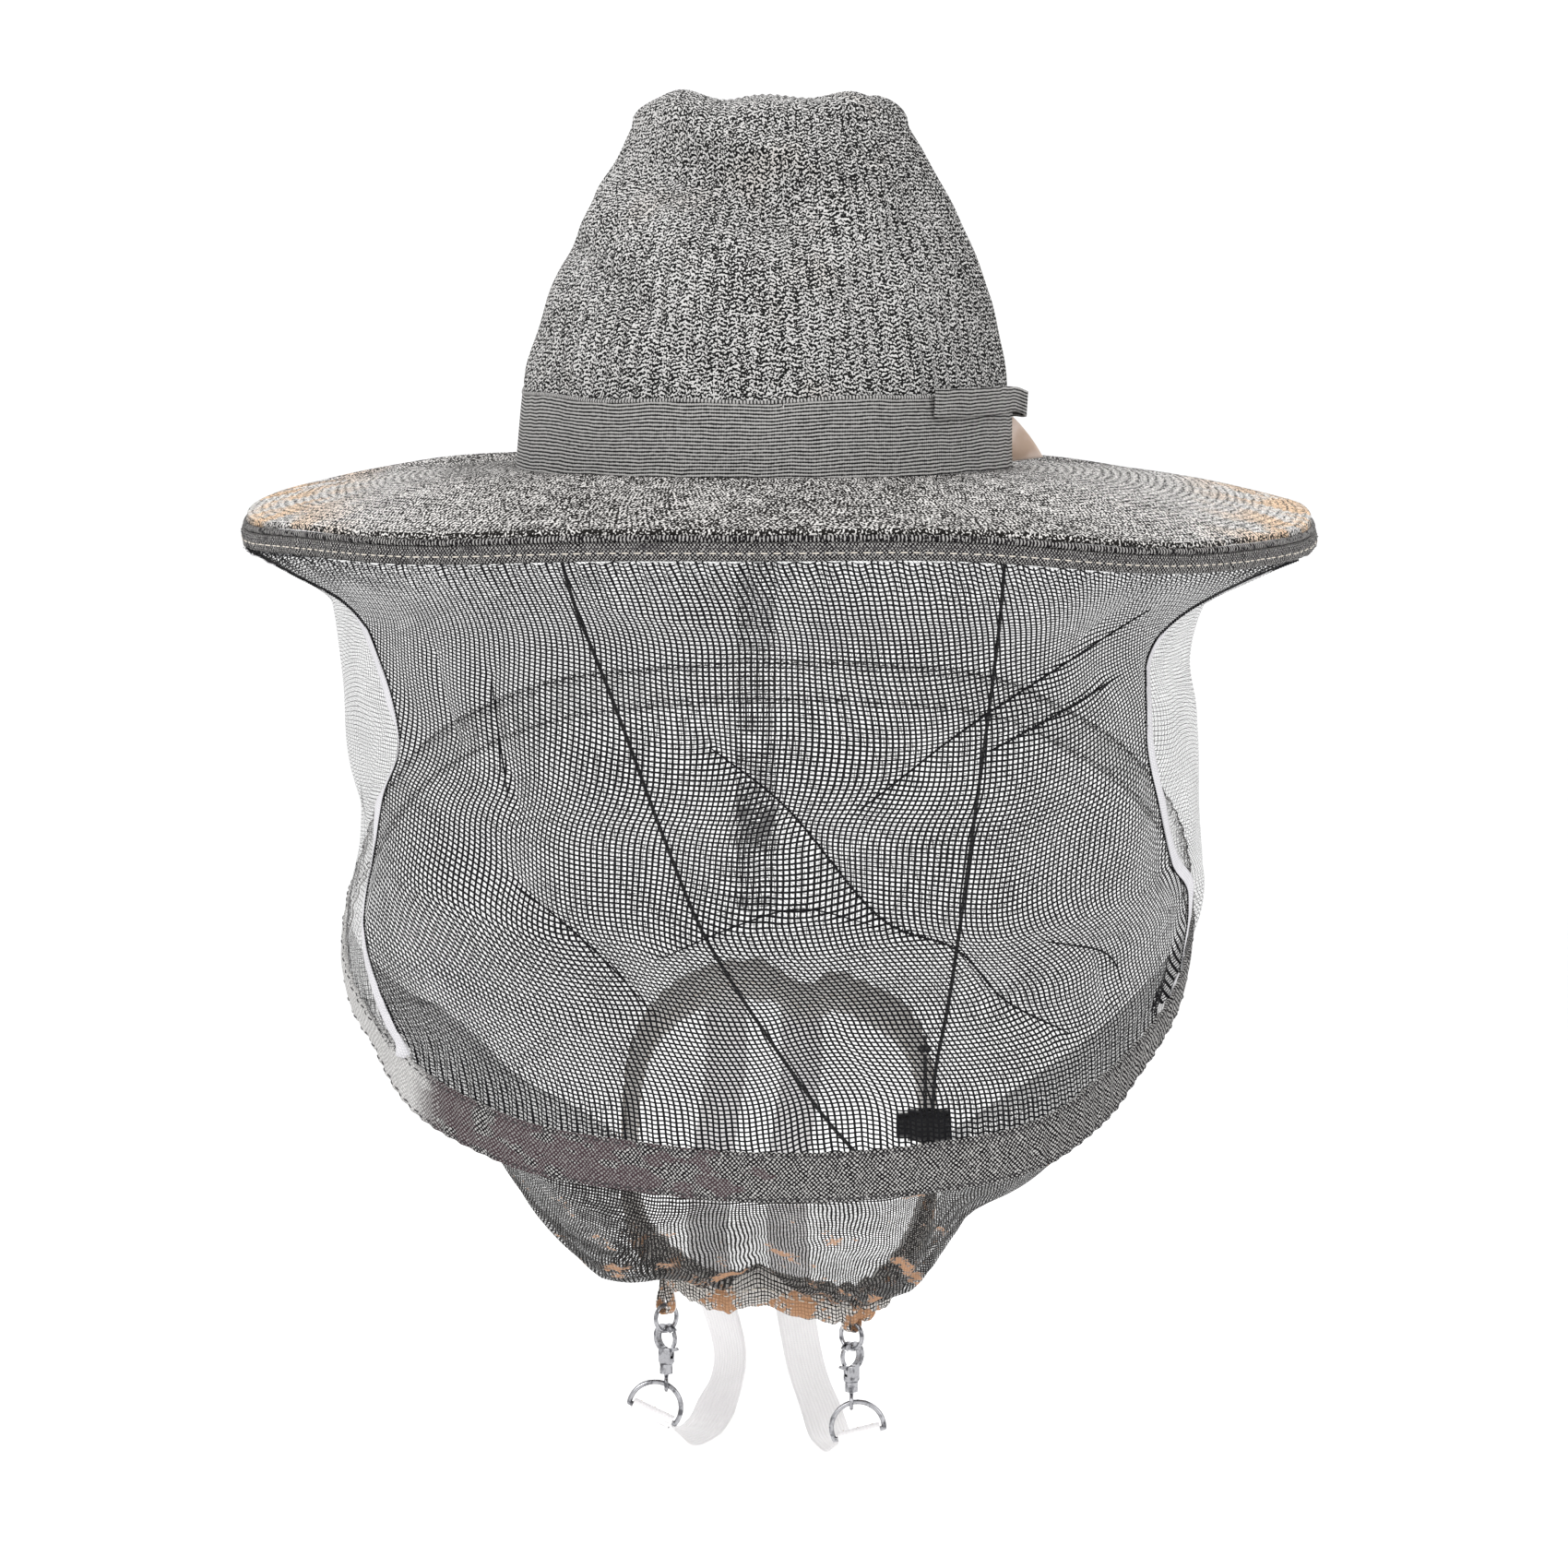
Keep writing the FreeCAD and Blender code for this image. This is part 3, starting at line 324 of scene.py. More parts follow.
def stitches(name, line, normals, material, length=2.4, gap=1.2, radius=0.3, lift=0.1):
    """A row of small thread stitches on a closed or open line."""
    line, normals = np.asarray(line, float), np.asarray(normals, float)
    run = run_along(line)
    vertices, faces = [], []
    shares = np.array((0.0, 0.12, 0.5, 0.88, 1.0))
    sizes = (0.35, 0.85, 1.0, 0.85, 0.35)
    for start in np.arange(0, run[-1] - length, length + gap):
        place = start + shares * length
        at = points_at(place, run, line)
        out = unit(points_at(place, run, normals))
        along = unit(at[-1] - at[0])
        base = len(vertices)
        for k, size in enumerate(sizes):
            across = np.cross(out[k], along)
            high = at[k] + out[k] * (lift + radius * (size - 0.55))
            for turn in range(6):
                angle = TAU * turn / 6
                vertices.append(high + radius * size * (math.cos(angle) * across + math.sin(angle) * out[k]))
        faces += ring_faces(base, len(sizes), 6)
        faces.append([base + turn for turn in range(6)][::-1])
        faces.append([base + 6 * (len(sizes) - 1) + turn for turn in range(6)])
    return new_object(name, vertices, faces, material)


def stitch_rings(label, points, out, rows, slot, **look):
    """Rows of stitches all the way round a band; rows gives each one's name, row of points and thread."""
    for name, row, thread in rows:
        made = stitches(f"{label}_{name}", closed(points[row]), closed(out[row]), thread, **look)
        fit(made, slot)


def fit(obj, slot, *nodes):
    """Fixes a piece to the veil and puts it in the place of CAD nodes; slot is not used."""
    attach(obj, "root")
    if nodes:
        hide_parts(*nodes)
    return obj


# ---------------------------------------------------------------- materials

class Shader:
    """Builds one procedural material around a Principled shader."""

    def __init__(self, name, roughness=0.8, metallic=0.0, sheen=0.0, specular=0.5):
        self.material = bpy.data.materials.new(name)
        self.material.use_nodes = True
        self.tree = self.material.node_tree
        self.main = self.tree.nodes["Principled BSDF"]
        self.main.inputs["Roughness"].default_value = roughness
        self.main.inputs["Metallic"].default_value = metallic
        self.main.inputs["Sheen Weight"].default_value = sheen
        self.main.inputs["Specular IOR Level"].default_value = specular

    def node(self, kind, **sockets):
        made = self.tree.nodes.new(kind)
        for key, value in sockets.items():
            self.put(made.inputs[key.replace("_", " ")], value)
        return made

    def put(self, socket, value):
        if isinstance(value, bpy.types.NodeSocket):
            self.tree.links.new(value, socket)
        else:
            socket.default_value = value

    def math(self, operation, a, b=0.0, c=0.0, clamp=False):
        made = self.tree.nodes.new("ShaderNodeMath")
        made.operation = operation
        made.use_clamp = clamp
        for socket, value in zip(made.inputs, (a, b, c)):
            self.put(socket, value)
        return made.outputs[0]

    def uv(self):
        source = self.tree.nodes.new("ShaderNodeUVMap")
        parts = self.node("ShaderNodeSeparateXYZ", Vector=source.outputs["UV"])
        return parts.outputs["X"], parts.outputs["Y"]

    def place(self):
        """Position on the object in mm."""
        source = self.tree.nodes.new("ShaderNodeTexCoord")
        scaled = self.tree.nodes.new("ShaderNodeVectorMath")
        scaled.operation = "SCALE"
        self.put(scaled.inputs[0], source.outputs["Object"])
        scaled.inputs["Scale"].default_value = 1000.0
        return scaled.outputs["Vector"]

    def noise(self, size, detail=2.0, vector=None):
        """Noise from 0 to 1 whose features are about size mm across."""
        made = self.node("ShaderNodeTexNoise", Vector=vector or self.place(), Scale=1.0 / size,
                         Detail=detail, Roughness=0.5)
        return made.outputs["Fac"]

    def mix(self, share, a, b):
        made = self.tree.nodes.new("ShaderNodeMix")
        made.data_type = "RGBA"
        self.put(made.inputs[0], share)
        for index, value in ((6, a), (7, b)):
            self.put(made.inputs[index], (*value, 1.0) if isinstance(value, tuple) else value)
        return made.outputs[2]

    def range(self, value, low, high, out_low=0.0, out_high=1.0):
        made = self.node("ShaderNodeMapRange", Value=value)
        made.interpolation_type = "SMOOTHSTEP"
        for key, number in (("From Min", low), ("From Max", high), ("To Min", out_low), ("To Max", out_high)):
            made.inputs[key].default_value = number
        return made.outputs["Result"]

    def wave(self, phase):
        """A smooth wave from 0 to 1 with one crest to each unit of phase."""
        return self.math("MULTIPLY_ADD", self.math("COSINE", self.math("MULTIPLY", phase, TAU)), 0.5, 0.5)

    def finish(self, colour, height=None, distance=0.0005, strength=0.6, roughness=None, alpha=None):
        """Joins colour, bump height and, where given, roughness and alpha to the main shader."""
        for name, value in (("Base Color", colour), ("Roughness", roughness), ("Alpha", alpha)):
            if value is not None:
                self.put(self.main.inputs[name], value)
        if height is not None:
            made = self.node("ShaderNodeBump", Strength=strength, Distance=distance, Height=height)
            self.put(self.main.inputs["Normal"], made.outputs["Normal"])
        return self.material


def knit_material(name, light, dark, warm, rib_depth):
    """Knitted paper straw: ribs along v, slanted stitches in each rib. UV is in ribs and rows."""
    s = Shader(name, roughness=0.8, specular=0.08)
    u, v = s.uv()
    u = s.math("MULTIPLY_ADD", s.noise(3.0, 3.0), 0.35, u)
    v = s.math("MULTIPLY_ADD", s.noise(2.2, 2.0), 1.2, v)
    fold = s.math("MULTIPLY", s.math("ABSOLUTE", s.math("SUBTRACT", s.math("FRACT", u), 0.5)), 2.0)
    stitch = s.wave(s.math("MULTIPLY_ADD", fold, 0.9, v))
    rib = s.math("SUBTRACT", 1.0, fold)
    curl = s.noise(0.62, 0.6)
    height = s.math("MULTIPLY_ADD", stitch, 0.5, s.math("MULTIPLY", rib, rib_depth))
    height = s.math("MULTIPLY_ADD", curl, 0.8, height)
    lit = s.math("MULTIPLY_ADD", stitch, 0.20, s.math("MULTIPLY_ADD", rib, 0.07, curl))
    lit = s.math("MULTIPLY_ADD", s.noise(30.0, 2.0), 0.10, lit)
    lit = s.range(lit, 0.685, 0.755)
    tone = s.mix(s.range(s.noise(26.0, 2.0), 0.55, 0.75, 0.0, 0.3), light, warm)
    colour = s.mix(lit, dark, tone)
    return s.finish(colour, height, distance=0.0006, strength=0.8)


def brim_material(name, light, dark, warm):
    """The brim's stitches run outward in rings; UV is angle in stitches and radius in rings."""
    s = Shader(name, roughness=0.8, specular=0.08)
    u, v = s.uv()
    wobble = s.math("SUBTRACT", s.noise(9.0, 2.0), 0.5)
    v = s.math("MULTIPLY_ADD", wobble, 0.5, v)
    row = s.math("FLOOR", v)
    u = s.math("MULTIPLY_ADD", row, 0.5, s.math("MULTIPLY_ADD", s.noise(3.4, 2.0), 0.7, u))
    along = s.math("SINE", s.math("MULTIPLY", s.math("FRACT", v), math.pi))
    dash = s.math("MULTIPLY", s.wave(u), along)
    curl = s.noise(0.7, 0.6)
    place = s.node("ShaderNodeSeparateXYZ", Vector=s.place())
    outer = s.math("ABSOLUTE", place.outputs["X"])
    lit = s.math("MULTIPLY_ADD", dash, 0.24, s.math("MULTIPLY", curl, 0.75))
    lit = s.math("MULTIPLY_ADD", s.range(outer, 110.0, 190.0), 0.05, lit)
    lit = s.range(lit, 0.425, 0.495)
    patch = s.range(s.noise(18.0, 2.0), 0.4, 0.6)
    tone = s.mix(s.math("MULTIPLY", s.range(outer, 135.0, 180.0), patch), light, warm)
    colour = s.mix(lit, dark, tone)
    return s.finish(colour, s.math("MULTIPLY_ADD", curl, 0.7, dash), distance=0.0005, strength=0.7)


def ribbon_material(name, light, dark, rib=1.3):
    """Grosgrain: fine ribs across v, in mm."""
    s = Shader(name, roughness=0.6, specular=0.12)
    u, v = s.uv()
    ribs = s.wave(s.math("MULTIPLY", s.math("MULTIPLY_ADD", s.noise(14.0), 1.6, v), 1.0 / rib))
    weave = s.wave(s.math("MULTIPLY", u, 1.0 / 0.9))
    lit = s.math("ADD", s.math("MULTIPLY", ribs, 0.55), s.math("MULTIPLY", weave, 0.14))
    lit = s.math("ADD", lit, s.math("MULTIPLY", s.noise(1.2, 1.0), 0.5))
    colour = s.mix(s.range(lit, 0.38, 0.8), dark, light)
    return s.finish(colour, s.math("MULTIPLY_ADD", ribs, 1.0, weave), distance=0.0003, strength=0.7)


def satin_material(name, pale, deep):
    s = Shader(name, roughness=0.34, sheen=0.4)
    _, v = s.uv()
    tone = s.mix(s.range(s.noise(9.0, 2.0), 0.35, 0.65), pale, deep)
    thread = s.wave(s.math("MULTIPLY", v, 2.4))
    colour = s.mix(s.math("MULTIPLY", thread, 0.18), tone, deep)
    return s.finish(colour, thread, distance=0.0001, strength=0.4)


def mesh_height(s, u, v, pitch):
    """Height of a mesh of round threads, 1 on a thread and 0 in mid-hole; pitch is across and down."""
    lines = []
    for coordinate, step in zip((u, v), pitch):
        cell = s.math("FRACT", s.math("MULTIPLY", coordinate, 1.0 / step))
        lines.append(s.math("MULTIPLY", s.math("ABSOLUTE", s.math("SUBTRACT", cell, 0.5)), 2.0))
    return s.math("MAXIMUM", *lines)


def net_material(name, colour, pitch=(2.0, 1.6), width=0.37, inside=None):
    """See-through net, its threads a little heavier in places; inside is a paler colour painted on its inner
    face as painted light, against the shade inside the veil.
    """
    s = Shader(name, roughness=0.7, specular=0.08)
    u, v = s.uv()
    near = mesh_height(s, u, v, pitch)
    grown = s.math("MULTIPLY_ADD", s.math("SUBTRACT", s.noise(26.0), 0.5), 0.10, near)
    alpha = s.range(grown, 1.0 - width - 0.05, 1.0 - width + 0.05)
    tone = s.mix(s.noise(12.0), colour, tuple(c * 1.8 for c in colour))
    # painted light: faces turned to the veil's inside take the paler inside colour, lifting the shade that
    # falls there
    if inside is not None:
        place = s.node("ShaderNodeSeparateXYZ", Vector=s.place())
        tone = s.mix(turned_in(s, place), tone, inside)
    return s.finish(tone, near, distance=0.0002, strength=0.3, alpha=alpha)


def cloth_material(name, light, line, warm, pitch, width, inside=None, low_edge=None, open_weave=False,
                   worn=0.0):
    """Pale cloth with a fine dark mesh over it, or the mesh alone where it is open weave. Its inside face
    has its threads in the paler inside colour, painted light against the shade inside the veil, and no warm
    flecks;
    warm flecks are commoner below the low edge (a height in mm).
    Worn (0 to 0.2) adds more of them at the front."""
    s = Shader(name, roughness=0.85, specular=0.08)
    u, v = s.uv()
    sway = s.math("MULTIPLY", s.math("SUBTRACT", s.noise(24.0, 2.0), 0.5), 5.0)
    near = mesh_height(s, s.math("ADD", u, sway), s.math("ADD", v, sway), (pitch, pitch))
    grown = s.math("MULTIPLY_ADD", s.math("SUBTRACT", s.noise(0.9, 1.0), 0.5), 0.5, near)
    grown = s.math("MULTIPLY_ADD", s.math("SUBTRACT", s.noise(20.0), 0.5), 0.25, grown)
    dark = s.range(grown, 1.0 - width - 0.08, 1.0 - width + 0.08)
    place = s.node("ShaderNodeSeparateXYZ", Vector=s.place())
    flecks = s.math("MULTIPLY_ADD", s.noise(1.6, 2.0), 0.45, s.noise(13.0, 2.0))
    if low_edge is not None:
        flecks = s.math("ADD", flecks, s.range(place.outputs["Z"], low_edge, low_edge - 40.0, -0.06, 0.08))
    if worn:
        flecks = s.math("ADD", flecks, s.range(place.outputs["Y"], 20.0, -20.0, 0.0, worn))
    fleck = s.range(flecks, 0.86, 0.92)
    # painted light: on faces turned to the veil's inside the threads take the paler inside colour, against
    # the shade that falls there
    if inside is not None:
        turned = turned_in(s, place)
        line = s.mix(turned, line, inside)
        fleck = s.math("MULTIPLY", fleck, s.math("SUBTRACT", 1.0, turned))
    colour = s.mix(s.math("SUBTRACT", dark, s.math("MULTIPLY", fleck, 0.6), clamp=True),
                   s.mix(fleck, light, warm), line)
    alpha = s.math("MAXIMUM", dark, s.math("MULTIPLY", fleck, 0.8)) if open_weave else None
    return s.finish(colour, near, distance=0.0003, strength=0.5, alpha=alpha)


def turned_in(s, place):
    """1 on faces turned to the veil's inside and 0 on those turned out."""
    geometry = s.tree.nodes.new("ShaderNodeNewGeometry")
    normal = s.node("ShaderNodeSeparateXYZ", Vector=geometry.outputs["Normal"])
    facing = s.math("ADD", s.math("MULTIPLY", normal.outputs["X"], place.outputs["X"]),
                    s.math("MULTIPLY", normal.outputs["Y"], place.outputs["Y"]))
    return s.range(facing, 2.0, -2.0)


def tape_material(name, light, dark, patch, pitch=1.5, patch_low=0.52, inside=None):
    """Dense dark tape with a fine diagonal weave and smoother worn streaks on the wearer's right.
    Where inside is given, the face turned to the wearer has that paler colour and a brighter weave, painted
    light against the shade inside the veil, and the far left end is given the same."""
    s = Shader(name, roughness=0.75, specular=0.08)
    u, v = s.uv()
    bent = s.math("MULTIPLY_ADD", s.math("SUBTRACT", s.noise(6.0, 2.0), 0.5), 3.0, u)
    a = s.wave(s.math("MULTIPLY", s.math("ADD", bent, v), 1.0 / pitch))
    b = s.wave(s.math("MULTIPLY", s.math("SUBTRACT", bent, v), 1.0 / pitch))
    weave = s.math("MULTIPLY", a, b)
    lit = s.range(s.math("MULTIPLY_ADD", s.noise(0.75, 0.6), 0.7, s.math("MULTIPLY", weave, 0.6)), 0.48, 0.60)
    place = s.node("ShaderNodeSeparateXYZ", Vector=s.place())
    side = s.range(place.outputs["X"], -50.0, 30.0, 0.0, 0.30)
    streak = s.node("ShaderNodeCombineXYZ", X=s.math("MULTIPLY", u, 0.35), Y=v)
    streaks = s.math("SUBTRACT", s.noise(5.0, 3.0, streak.outputs[0]), side)
    smooth_part = s.range(streaks, patch_low, patch_low + 0.05)
    smooth_part = s.math("MULTIPLY", smooth_part, s.math("SUBTRACT", 1.0, s.math("MULTIPLY", lit, 0.5)))
    alpha = None
    if inside is not None:
        # painted light: faces turned to the wearer take the paler inside colour and a brighter weave, against
        # the shade inside the veil; the far left end, masked on the next line, is given the same colours
        worn = s.range(place.outputs["X"], -112.0, -128.0)
        pale = s.math("MAXIMUM", turned_in(s, place), worn)
        light, dark = s.mix(pale, light, inside), s.mix(pale, dark, tuple(0.16 * c for c in inside))
        smooth_part = s.math("MULTIPLY", smooth_part, s.math("SUBTRACT", 1.0, pale))
        lit = s.math("MULTIPLY_ADD", pale, 0.5, lit, clamp=True)
        gaps = s.range(weave, 0.62, 0.40)
        alpha = s.math("SUBTRACT", 1.0, s.math("MULTIPLY", turned_in(s, place), gaps))
    woven = s.mix(lit, dark, light)
    colour = s.mix(smooth_part, woven, patch)
    return s.finish(colour, weave, distance=0.0003, strength=0.6, alpha=alpha)


def strap_material(name, pale, shade):
    """Woven elastic: fine cords along the strap with thin rows across."""
    s = Shader(name, roughness=0.62, sheen=0.3)
    u, v = s.uv()
    cords = s.wave(s.math("MULTIPLY", u, 1.0 / 1.25))
    rows = s.wave(s.math("MULTIPLY", v, 1.0 / 0.8))
    height = s.math("MULTIPLY_ADD", cords, 0.7, s.math("MULTIPLY", rows, 0.3))
    colour = s.mix(s.range(height, 0.0, 1.0, 0.55, 0.0), pale, shade)
    colour = s.mix(s.range(s.noise(13.0, 2.0), 0.5, 0.75, 0.0, 0.35), colour, shade)
    return s.finish(colour, height, distance=0.0003, strength=0.6)


def metal_material(name, bright, dull):
    s = Shader(name, roughness=0.22, metallic=1.0)
    worn = s.range(s.noise(2.4, 4.0), 0.45, 0.7)
    colour = s.mix(worn, bright, dull)
    rough = s.range(s.noise(1.2, 3.0), 0.3, 0.8, 0.14, 0.42)
    return s.finish(colour, s.noise(0.6, 2.0), distance=0.00004, strength=0.35, roughness=rough)


def plain_weave(name, light, dark, pitch):
    s = Shader(name, roughness=0.8, sheen=0.2)
    across, down = (s.wave(s.math("MULTIPLY", part, 1.0 / pitch)) for part in s.uv())
    weave = s.math("MULTIPLY", across, down)
    colour = s.mix(s.range(s.math("MULTIPLY_ADD", s.noise(3.0, 3.0), 0.5, weave), 0.1, 1.0), dark, light)
    return s.finish(colour, weave, distance=0.0002, strength=0.5)


def braid_material(name, light, dark):
    s = Shader(name, roughness=0.7, sheen=0.15)
    u, v = s.uv()
    turn = s.math("MULTIPLY", u, 4.0)
    run = s.math("MULTIPLY", v, 1.0 / 2.4)
    weave = s.math("MULTIPLY", s.wave(s.math("ADD", turn, run)), s.wave(s.math("SUBTRACT", turn, run)))
    return s.finish(s.mix(weave, dark, light), weave, distance=0.0003, strength=0.7)


def plastic_material(name, colour, worn):
    s = Shader(name, roughness=0.42)
    marks = s.range(s.noise(1.5, 4.0), 0.5, 0.75)
    return s.finish(s.mix(marks, colour, worn), s.noise(0.5, 2.0), distance=0.00005, strength=0.4,
                    roughness=s.range(s.noise(4.0, 3.0), 0.3, 0.7, 0.3, 0.55))


STRAW = knit_material("StrawKnit", (0.67, 0.66, 0.65), (0.010, 0.010, 0.010), (0.62, 0.55, 0.49), 0.5)
STRAW_BRIM = brim_material("StrawBrim", (0.76, 0.74, 0.72), (0.012, 0.011, 0.010), (0.86, 0.62, 0.42))
RIBBON = ribbon_material("HatRibbon", (0.50, 0.49, 0.48), (0.010, 0.010, 0.010), 1.2)
# a darker copy of the hat ribbon, painted shade for the band's lower edge where it meets the brim
RIBBON_PAINTED_SHADE = ribbon_material("HatRibbonDark", (0.14, 0.13, 0.13), (0.010, 0.009, 0.009))
SATIN = satin_material("SatinTail", (0.74, 0.60, 0.52), (0.56, 0.40, 0.30))
SWEAT = plain_weave("SweatTwill", (0.62, 0.57, 0.48), (0.34, 0.30, 0.24), 1.1)
NET = net_material("BlackNet", (0.006, 0.006, 0.007))
# the back net's last colour is painted light on its inner face, paler than the black threads, against the
# shade inside the veil
NET_BACK = net_material("BlackNetBack", (0.010, 0.010, 0.011), width=0.11, inside=(0.17, 0.17, 0.175))
# NET_FOLD darkens the side seams' edge and the fold strips; along the folds its extra darkness is partly
# painted shade
NET_FOLD = net_material("BlackNetFold", (0.006, 0.006, 0.007), (1.1, 1.1), 0.5)
BLACK, FLECK_BASE = (0.010, 0.009, 0.009), (0.66, 0.64, 0.62)
BINDING = tape_material("DarkBinding", (0.40, 0.39, 0.38), (0.008, 0.007, 0.008), (0.02, 0.018, 0.02),
                        1.3, 0.60)
# the seam band's last colour is painted light: its inner face's colour, paler than the dark tape, against the
# shade inside the veil
SEAM = tape_material("SeamTape", (0.50, 0.49, 0.48), (0.008, 0.007, 0.008), (0.055, 0.036, 0.041),
                     1.5, 0.43, (0.66, 0.65, 0.64))
TAPE = cloth_material("BackSeamTape", (0.50, 0.50, 0.50), (0.06, 0.06, 0.06), (0.50, 0.50, 0.50),
                      1.8, 0.10, open_weave=True)
FACING = plain_weave("SeamFacing", (0.80, 0.79, 0.81), (0.56, 0.55, 0.58), 1.1)
# in SKIRT, SKIRT_BACK and HEM the grey given after pitch and width is painted light: the inner faces' thread
# colour, paler than the outside, against the shade inside the veil
SKIRT = cloth_material("SkirtCloth", FLECK_BASE, BLACK, (0.60, 0.34, 0.20), 1.15, 0.46,
                       (0.55, 0.55, 0.55), -250.0, True)
SKIRT_BACK = cloth_material("SkirtBackCloth", FLECK_BASE, BLACK, (0.60, 0.30, 0.14), 1.9, 0.11,
                            (0.26, 0.26, 0.26), -250.0, True)
HEM = cloth_material("HemTwill", (0.70, 0.67, 0.64), (0.02, 0.018, 0.017), (0.50, 0.28, 0.16), 1.2, 0.30,
                     (0.85, 0.84, 0.83), -262.0, worn=0.06)
STRAP = strap_material("StrapElastic", (0.98, 0.965, 0.97), (0.87, 0.84, 0.86))
CORD = braid_material("BlackBraid", (0.13, 0.13, 0.13), (0.02, 0.02, 0.02))
PLASTIC = plastic_material("LockPlastic", (0.008, 0.008, 0.009), (0.03, 0.03, 0.032))
# painted reflection: the plate's and the wire's colours are kept darker than bare nickel, standing in for the
# dark surroundings that polished metal mirrors; the noise mixes in duller worn patches
METAL = metal_material("NickelPlate", (0.42, 0.42, 0.44), (0.12, 0.12, 0.13))
WIRE = metal_material("SpringWire", (0.45, 0.45, 0.47), (0.22, 0.22, 0.23))
THREAD_DARK = plain_weave("DarkThread", (0.03, 0.027, 0.03), (0.008, 0.008, 0.008), 0.4)
THREAD_PALE = plain_weave("PaleThread", (0.70, 0.64, 0.56), (0.40, 0.35, 0.30), 0.4)


# ---------------------------------------------------------------- shared shapes, as the frame has them

BASE_X, BASE_Y = 87.0, 100.0            # the crown at the head opening
CROWN_LEVELS = (0, 30, 58, 84, 108, 128, 139)
CROWN_X = (86.9, 85.3, 78.8, 69, 57.5, 45, 34)
CROWN_Y = (100, 97, 90, 80, 70, 60, 50)
BRIM_HALF = 189.0
SEAM_X, SEAM_Y, SEAM_CY, SEAM_POWER = 147.0, 138.0, 3.0, 2.6
NECK_X, NECK_Y, NECK_CY, NECK_POWER = 54.0, 62.0, 12.0, 3.0
SEAM_HALF_BAND = 8.5


def crown_half(z):
    """The crown's half width and half depth at a height."""
    return smooth(CROWN_LEVELS, CROWN_X, z), smooth(CROWN_LEVELS, CROWN_Y, z)


def lean(z):
    """The soft crown stands a little towards the wearer's right, less at its top."""
    return -5.4 * (1 - 0.45 * np.clip(z / CROWN_LEVELS[-1], 0, 1))


def brim_edge(angle):
    wave = 1.3 * np.sin(3 * angle + 0.6) + 0.8 * np.sin(5 * angle + 2.0) + 0.5 * np.sin(9 * angle)
    raised = (6.4 * bump(np.mod(angle, TAU), math.pi, 0.8)
              + 2.4 * bump(np.mod(angle + math.pi, TAU), math.pi, 0.8))
    return -13 - 7 * np.cos(2 * angle) + 8 * np.sin(angle) + wave + raised


def seam_level(y):
    return -158 + 0.52 * (y - SEAM_CY)


def neck_level(y):
    return -235 + 0.76 * (y - NECK_CY)


# ---------------------------------------------------------------- crown

RIBS = 84                               # knitted ribs round the crown
KNIT_ROW = 1.55                         # height of one row of stitches
RIM_START, RIM_RISE = 122.0, 10.0       # where the crown's side turns over, and how far it still rises


def crown_surface(columns, side_rows, top_rows):
    """Points of the crown from the head opening up, over the rim and down into the sunken top."""
    angle = full_turn(columns)
    side_z = np.linspace(-1.0, RIM_START, side_rows)
    # over the rim: share of the way in to the middle, and height
    turn = np.linspace(0, 1, top_rows + 1)[1:]
    inward = smooth((0, 0.12, 0.3, 0.5, 0.75, 1.0), (0.0, 0.10, 0.34, 0.58, 0.82, 0.999), turn)
    rows = []
    for z in side_z:
        x, y = superellipse(angle, *crown_half(z), 2.0)
        rows.append(np.stack([x, y, np.full_like(x, z)], 1))
    rim_x, rim_y = crown_half(RIM_START)
    for share in inward:
        scale = 1 - share
        x, y = superellipse(angle, rim_x * scale, rim_y * scale, 2.0)
        z = RIM_START + RIM_RISE * np.sqrt(np.clip(1 - (1 - min(share / 0.28, 1.0)) ** 2, 0, 1))
        hollow = 14.0 * ease(0.22, 0.66, share)
        # the top is pinched along the middle, with two peaks at its front and sides
        z = z - hollow * (0.75 + 0.25 * np.cos(2 * angle))
        rows.append(np.stack([x, y, np.broadcast_to(z, x.shape)], 1))
    return angle, np.array(rows)


def crown_folds(points):
    """How far the crown's outside is pushed in, in mm, by its dents and soft creases."""
    x, y, z = points[..., 0], points[..., 1], points[..., 2]
    front = ease(20.0, -20.0, y)
    back = 1 - front
    push = np.zeros(x.shape)
    # the pinch under the front lip, and the lip itself
    pinch = polyline_distance(x, z, [(-44, 108), (-22, 104), (8, 94)])
    push += front * 9.0 * np.exp(-(pinch / 14.0) ** 2)
    lip = polyline_distance(x, z, [(-34, 122), (-12, 117), (17, 108)])
    push -= front * 3.2 * np.exp(-(lip / 4.5) ** 2)
    # one long crease down the wearer's right of the front, others softer
    crease = polyline_distance(x, z, [(-74, 84), (-36, 54), (-18, 36), (-14, 30)])
    push += front * 3.0 * np.exp(-(crease / 5.0) ** 2)
    soft = polyline_distance(x, z, [(52, 92), (34, 66), (40, 40)])
    push += front * 1.8 * np.exp(-(soft / 7.0) ** 2)
    behind = polyline_distance(x, z, [(40, 112), (10, 84), (-8, 56)])
    push += back * 4.0 * np.exp(-(behind / 9.0) ** 2)
    shoulder = polyline_distance(x, z, [(-60, 92), (-46, 70), (-52, 44)])
    push += back * 2.4 * np.exp(-(shoulder / 6.0) ** 2)
    push += 1.5 * noise(points, 34.0, 3) + 0.6 * noise(points, 12.0, 4)
    return push * ease(24.0, 46.0, z)


def peaks(points):
    """Raises the two peaks and the dip between them that the soft top settles into."""
    x, z = points[..., 0], points[..., 2]
    high = ease(108.0, 130.0, z)
    shape = (3.2 * bump(x, -32.0, 8.0) + 1.0 * bump(x, -3.0, 8.0) + 2.0 * bump(x, 27.0, 8.0)
             - 0.8 * bump(x, -16.0, 6.0) - 1.0 * bump(x, 13.0, 7.0))
    return shape * high


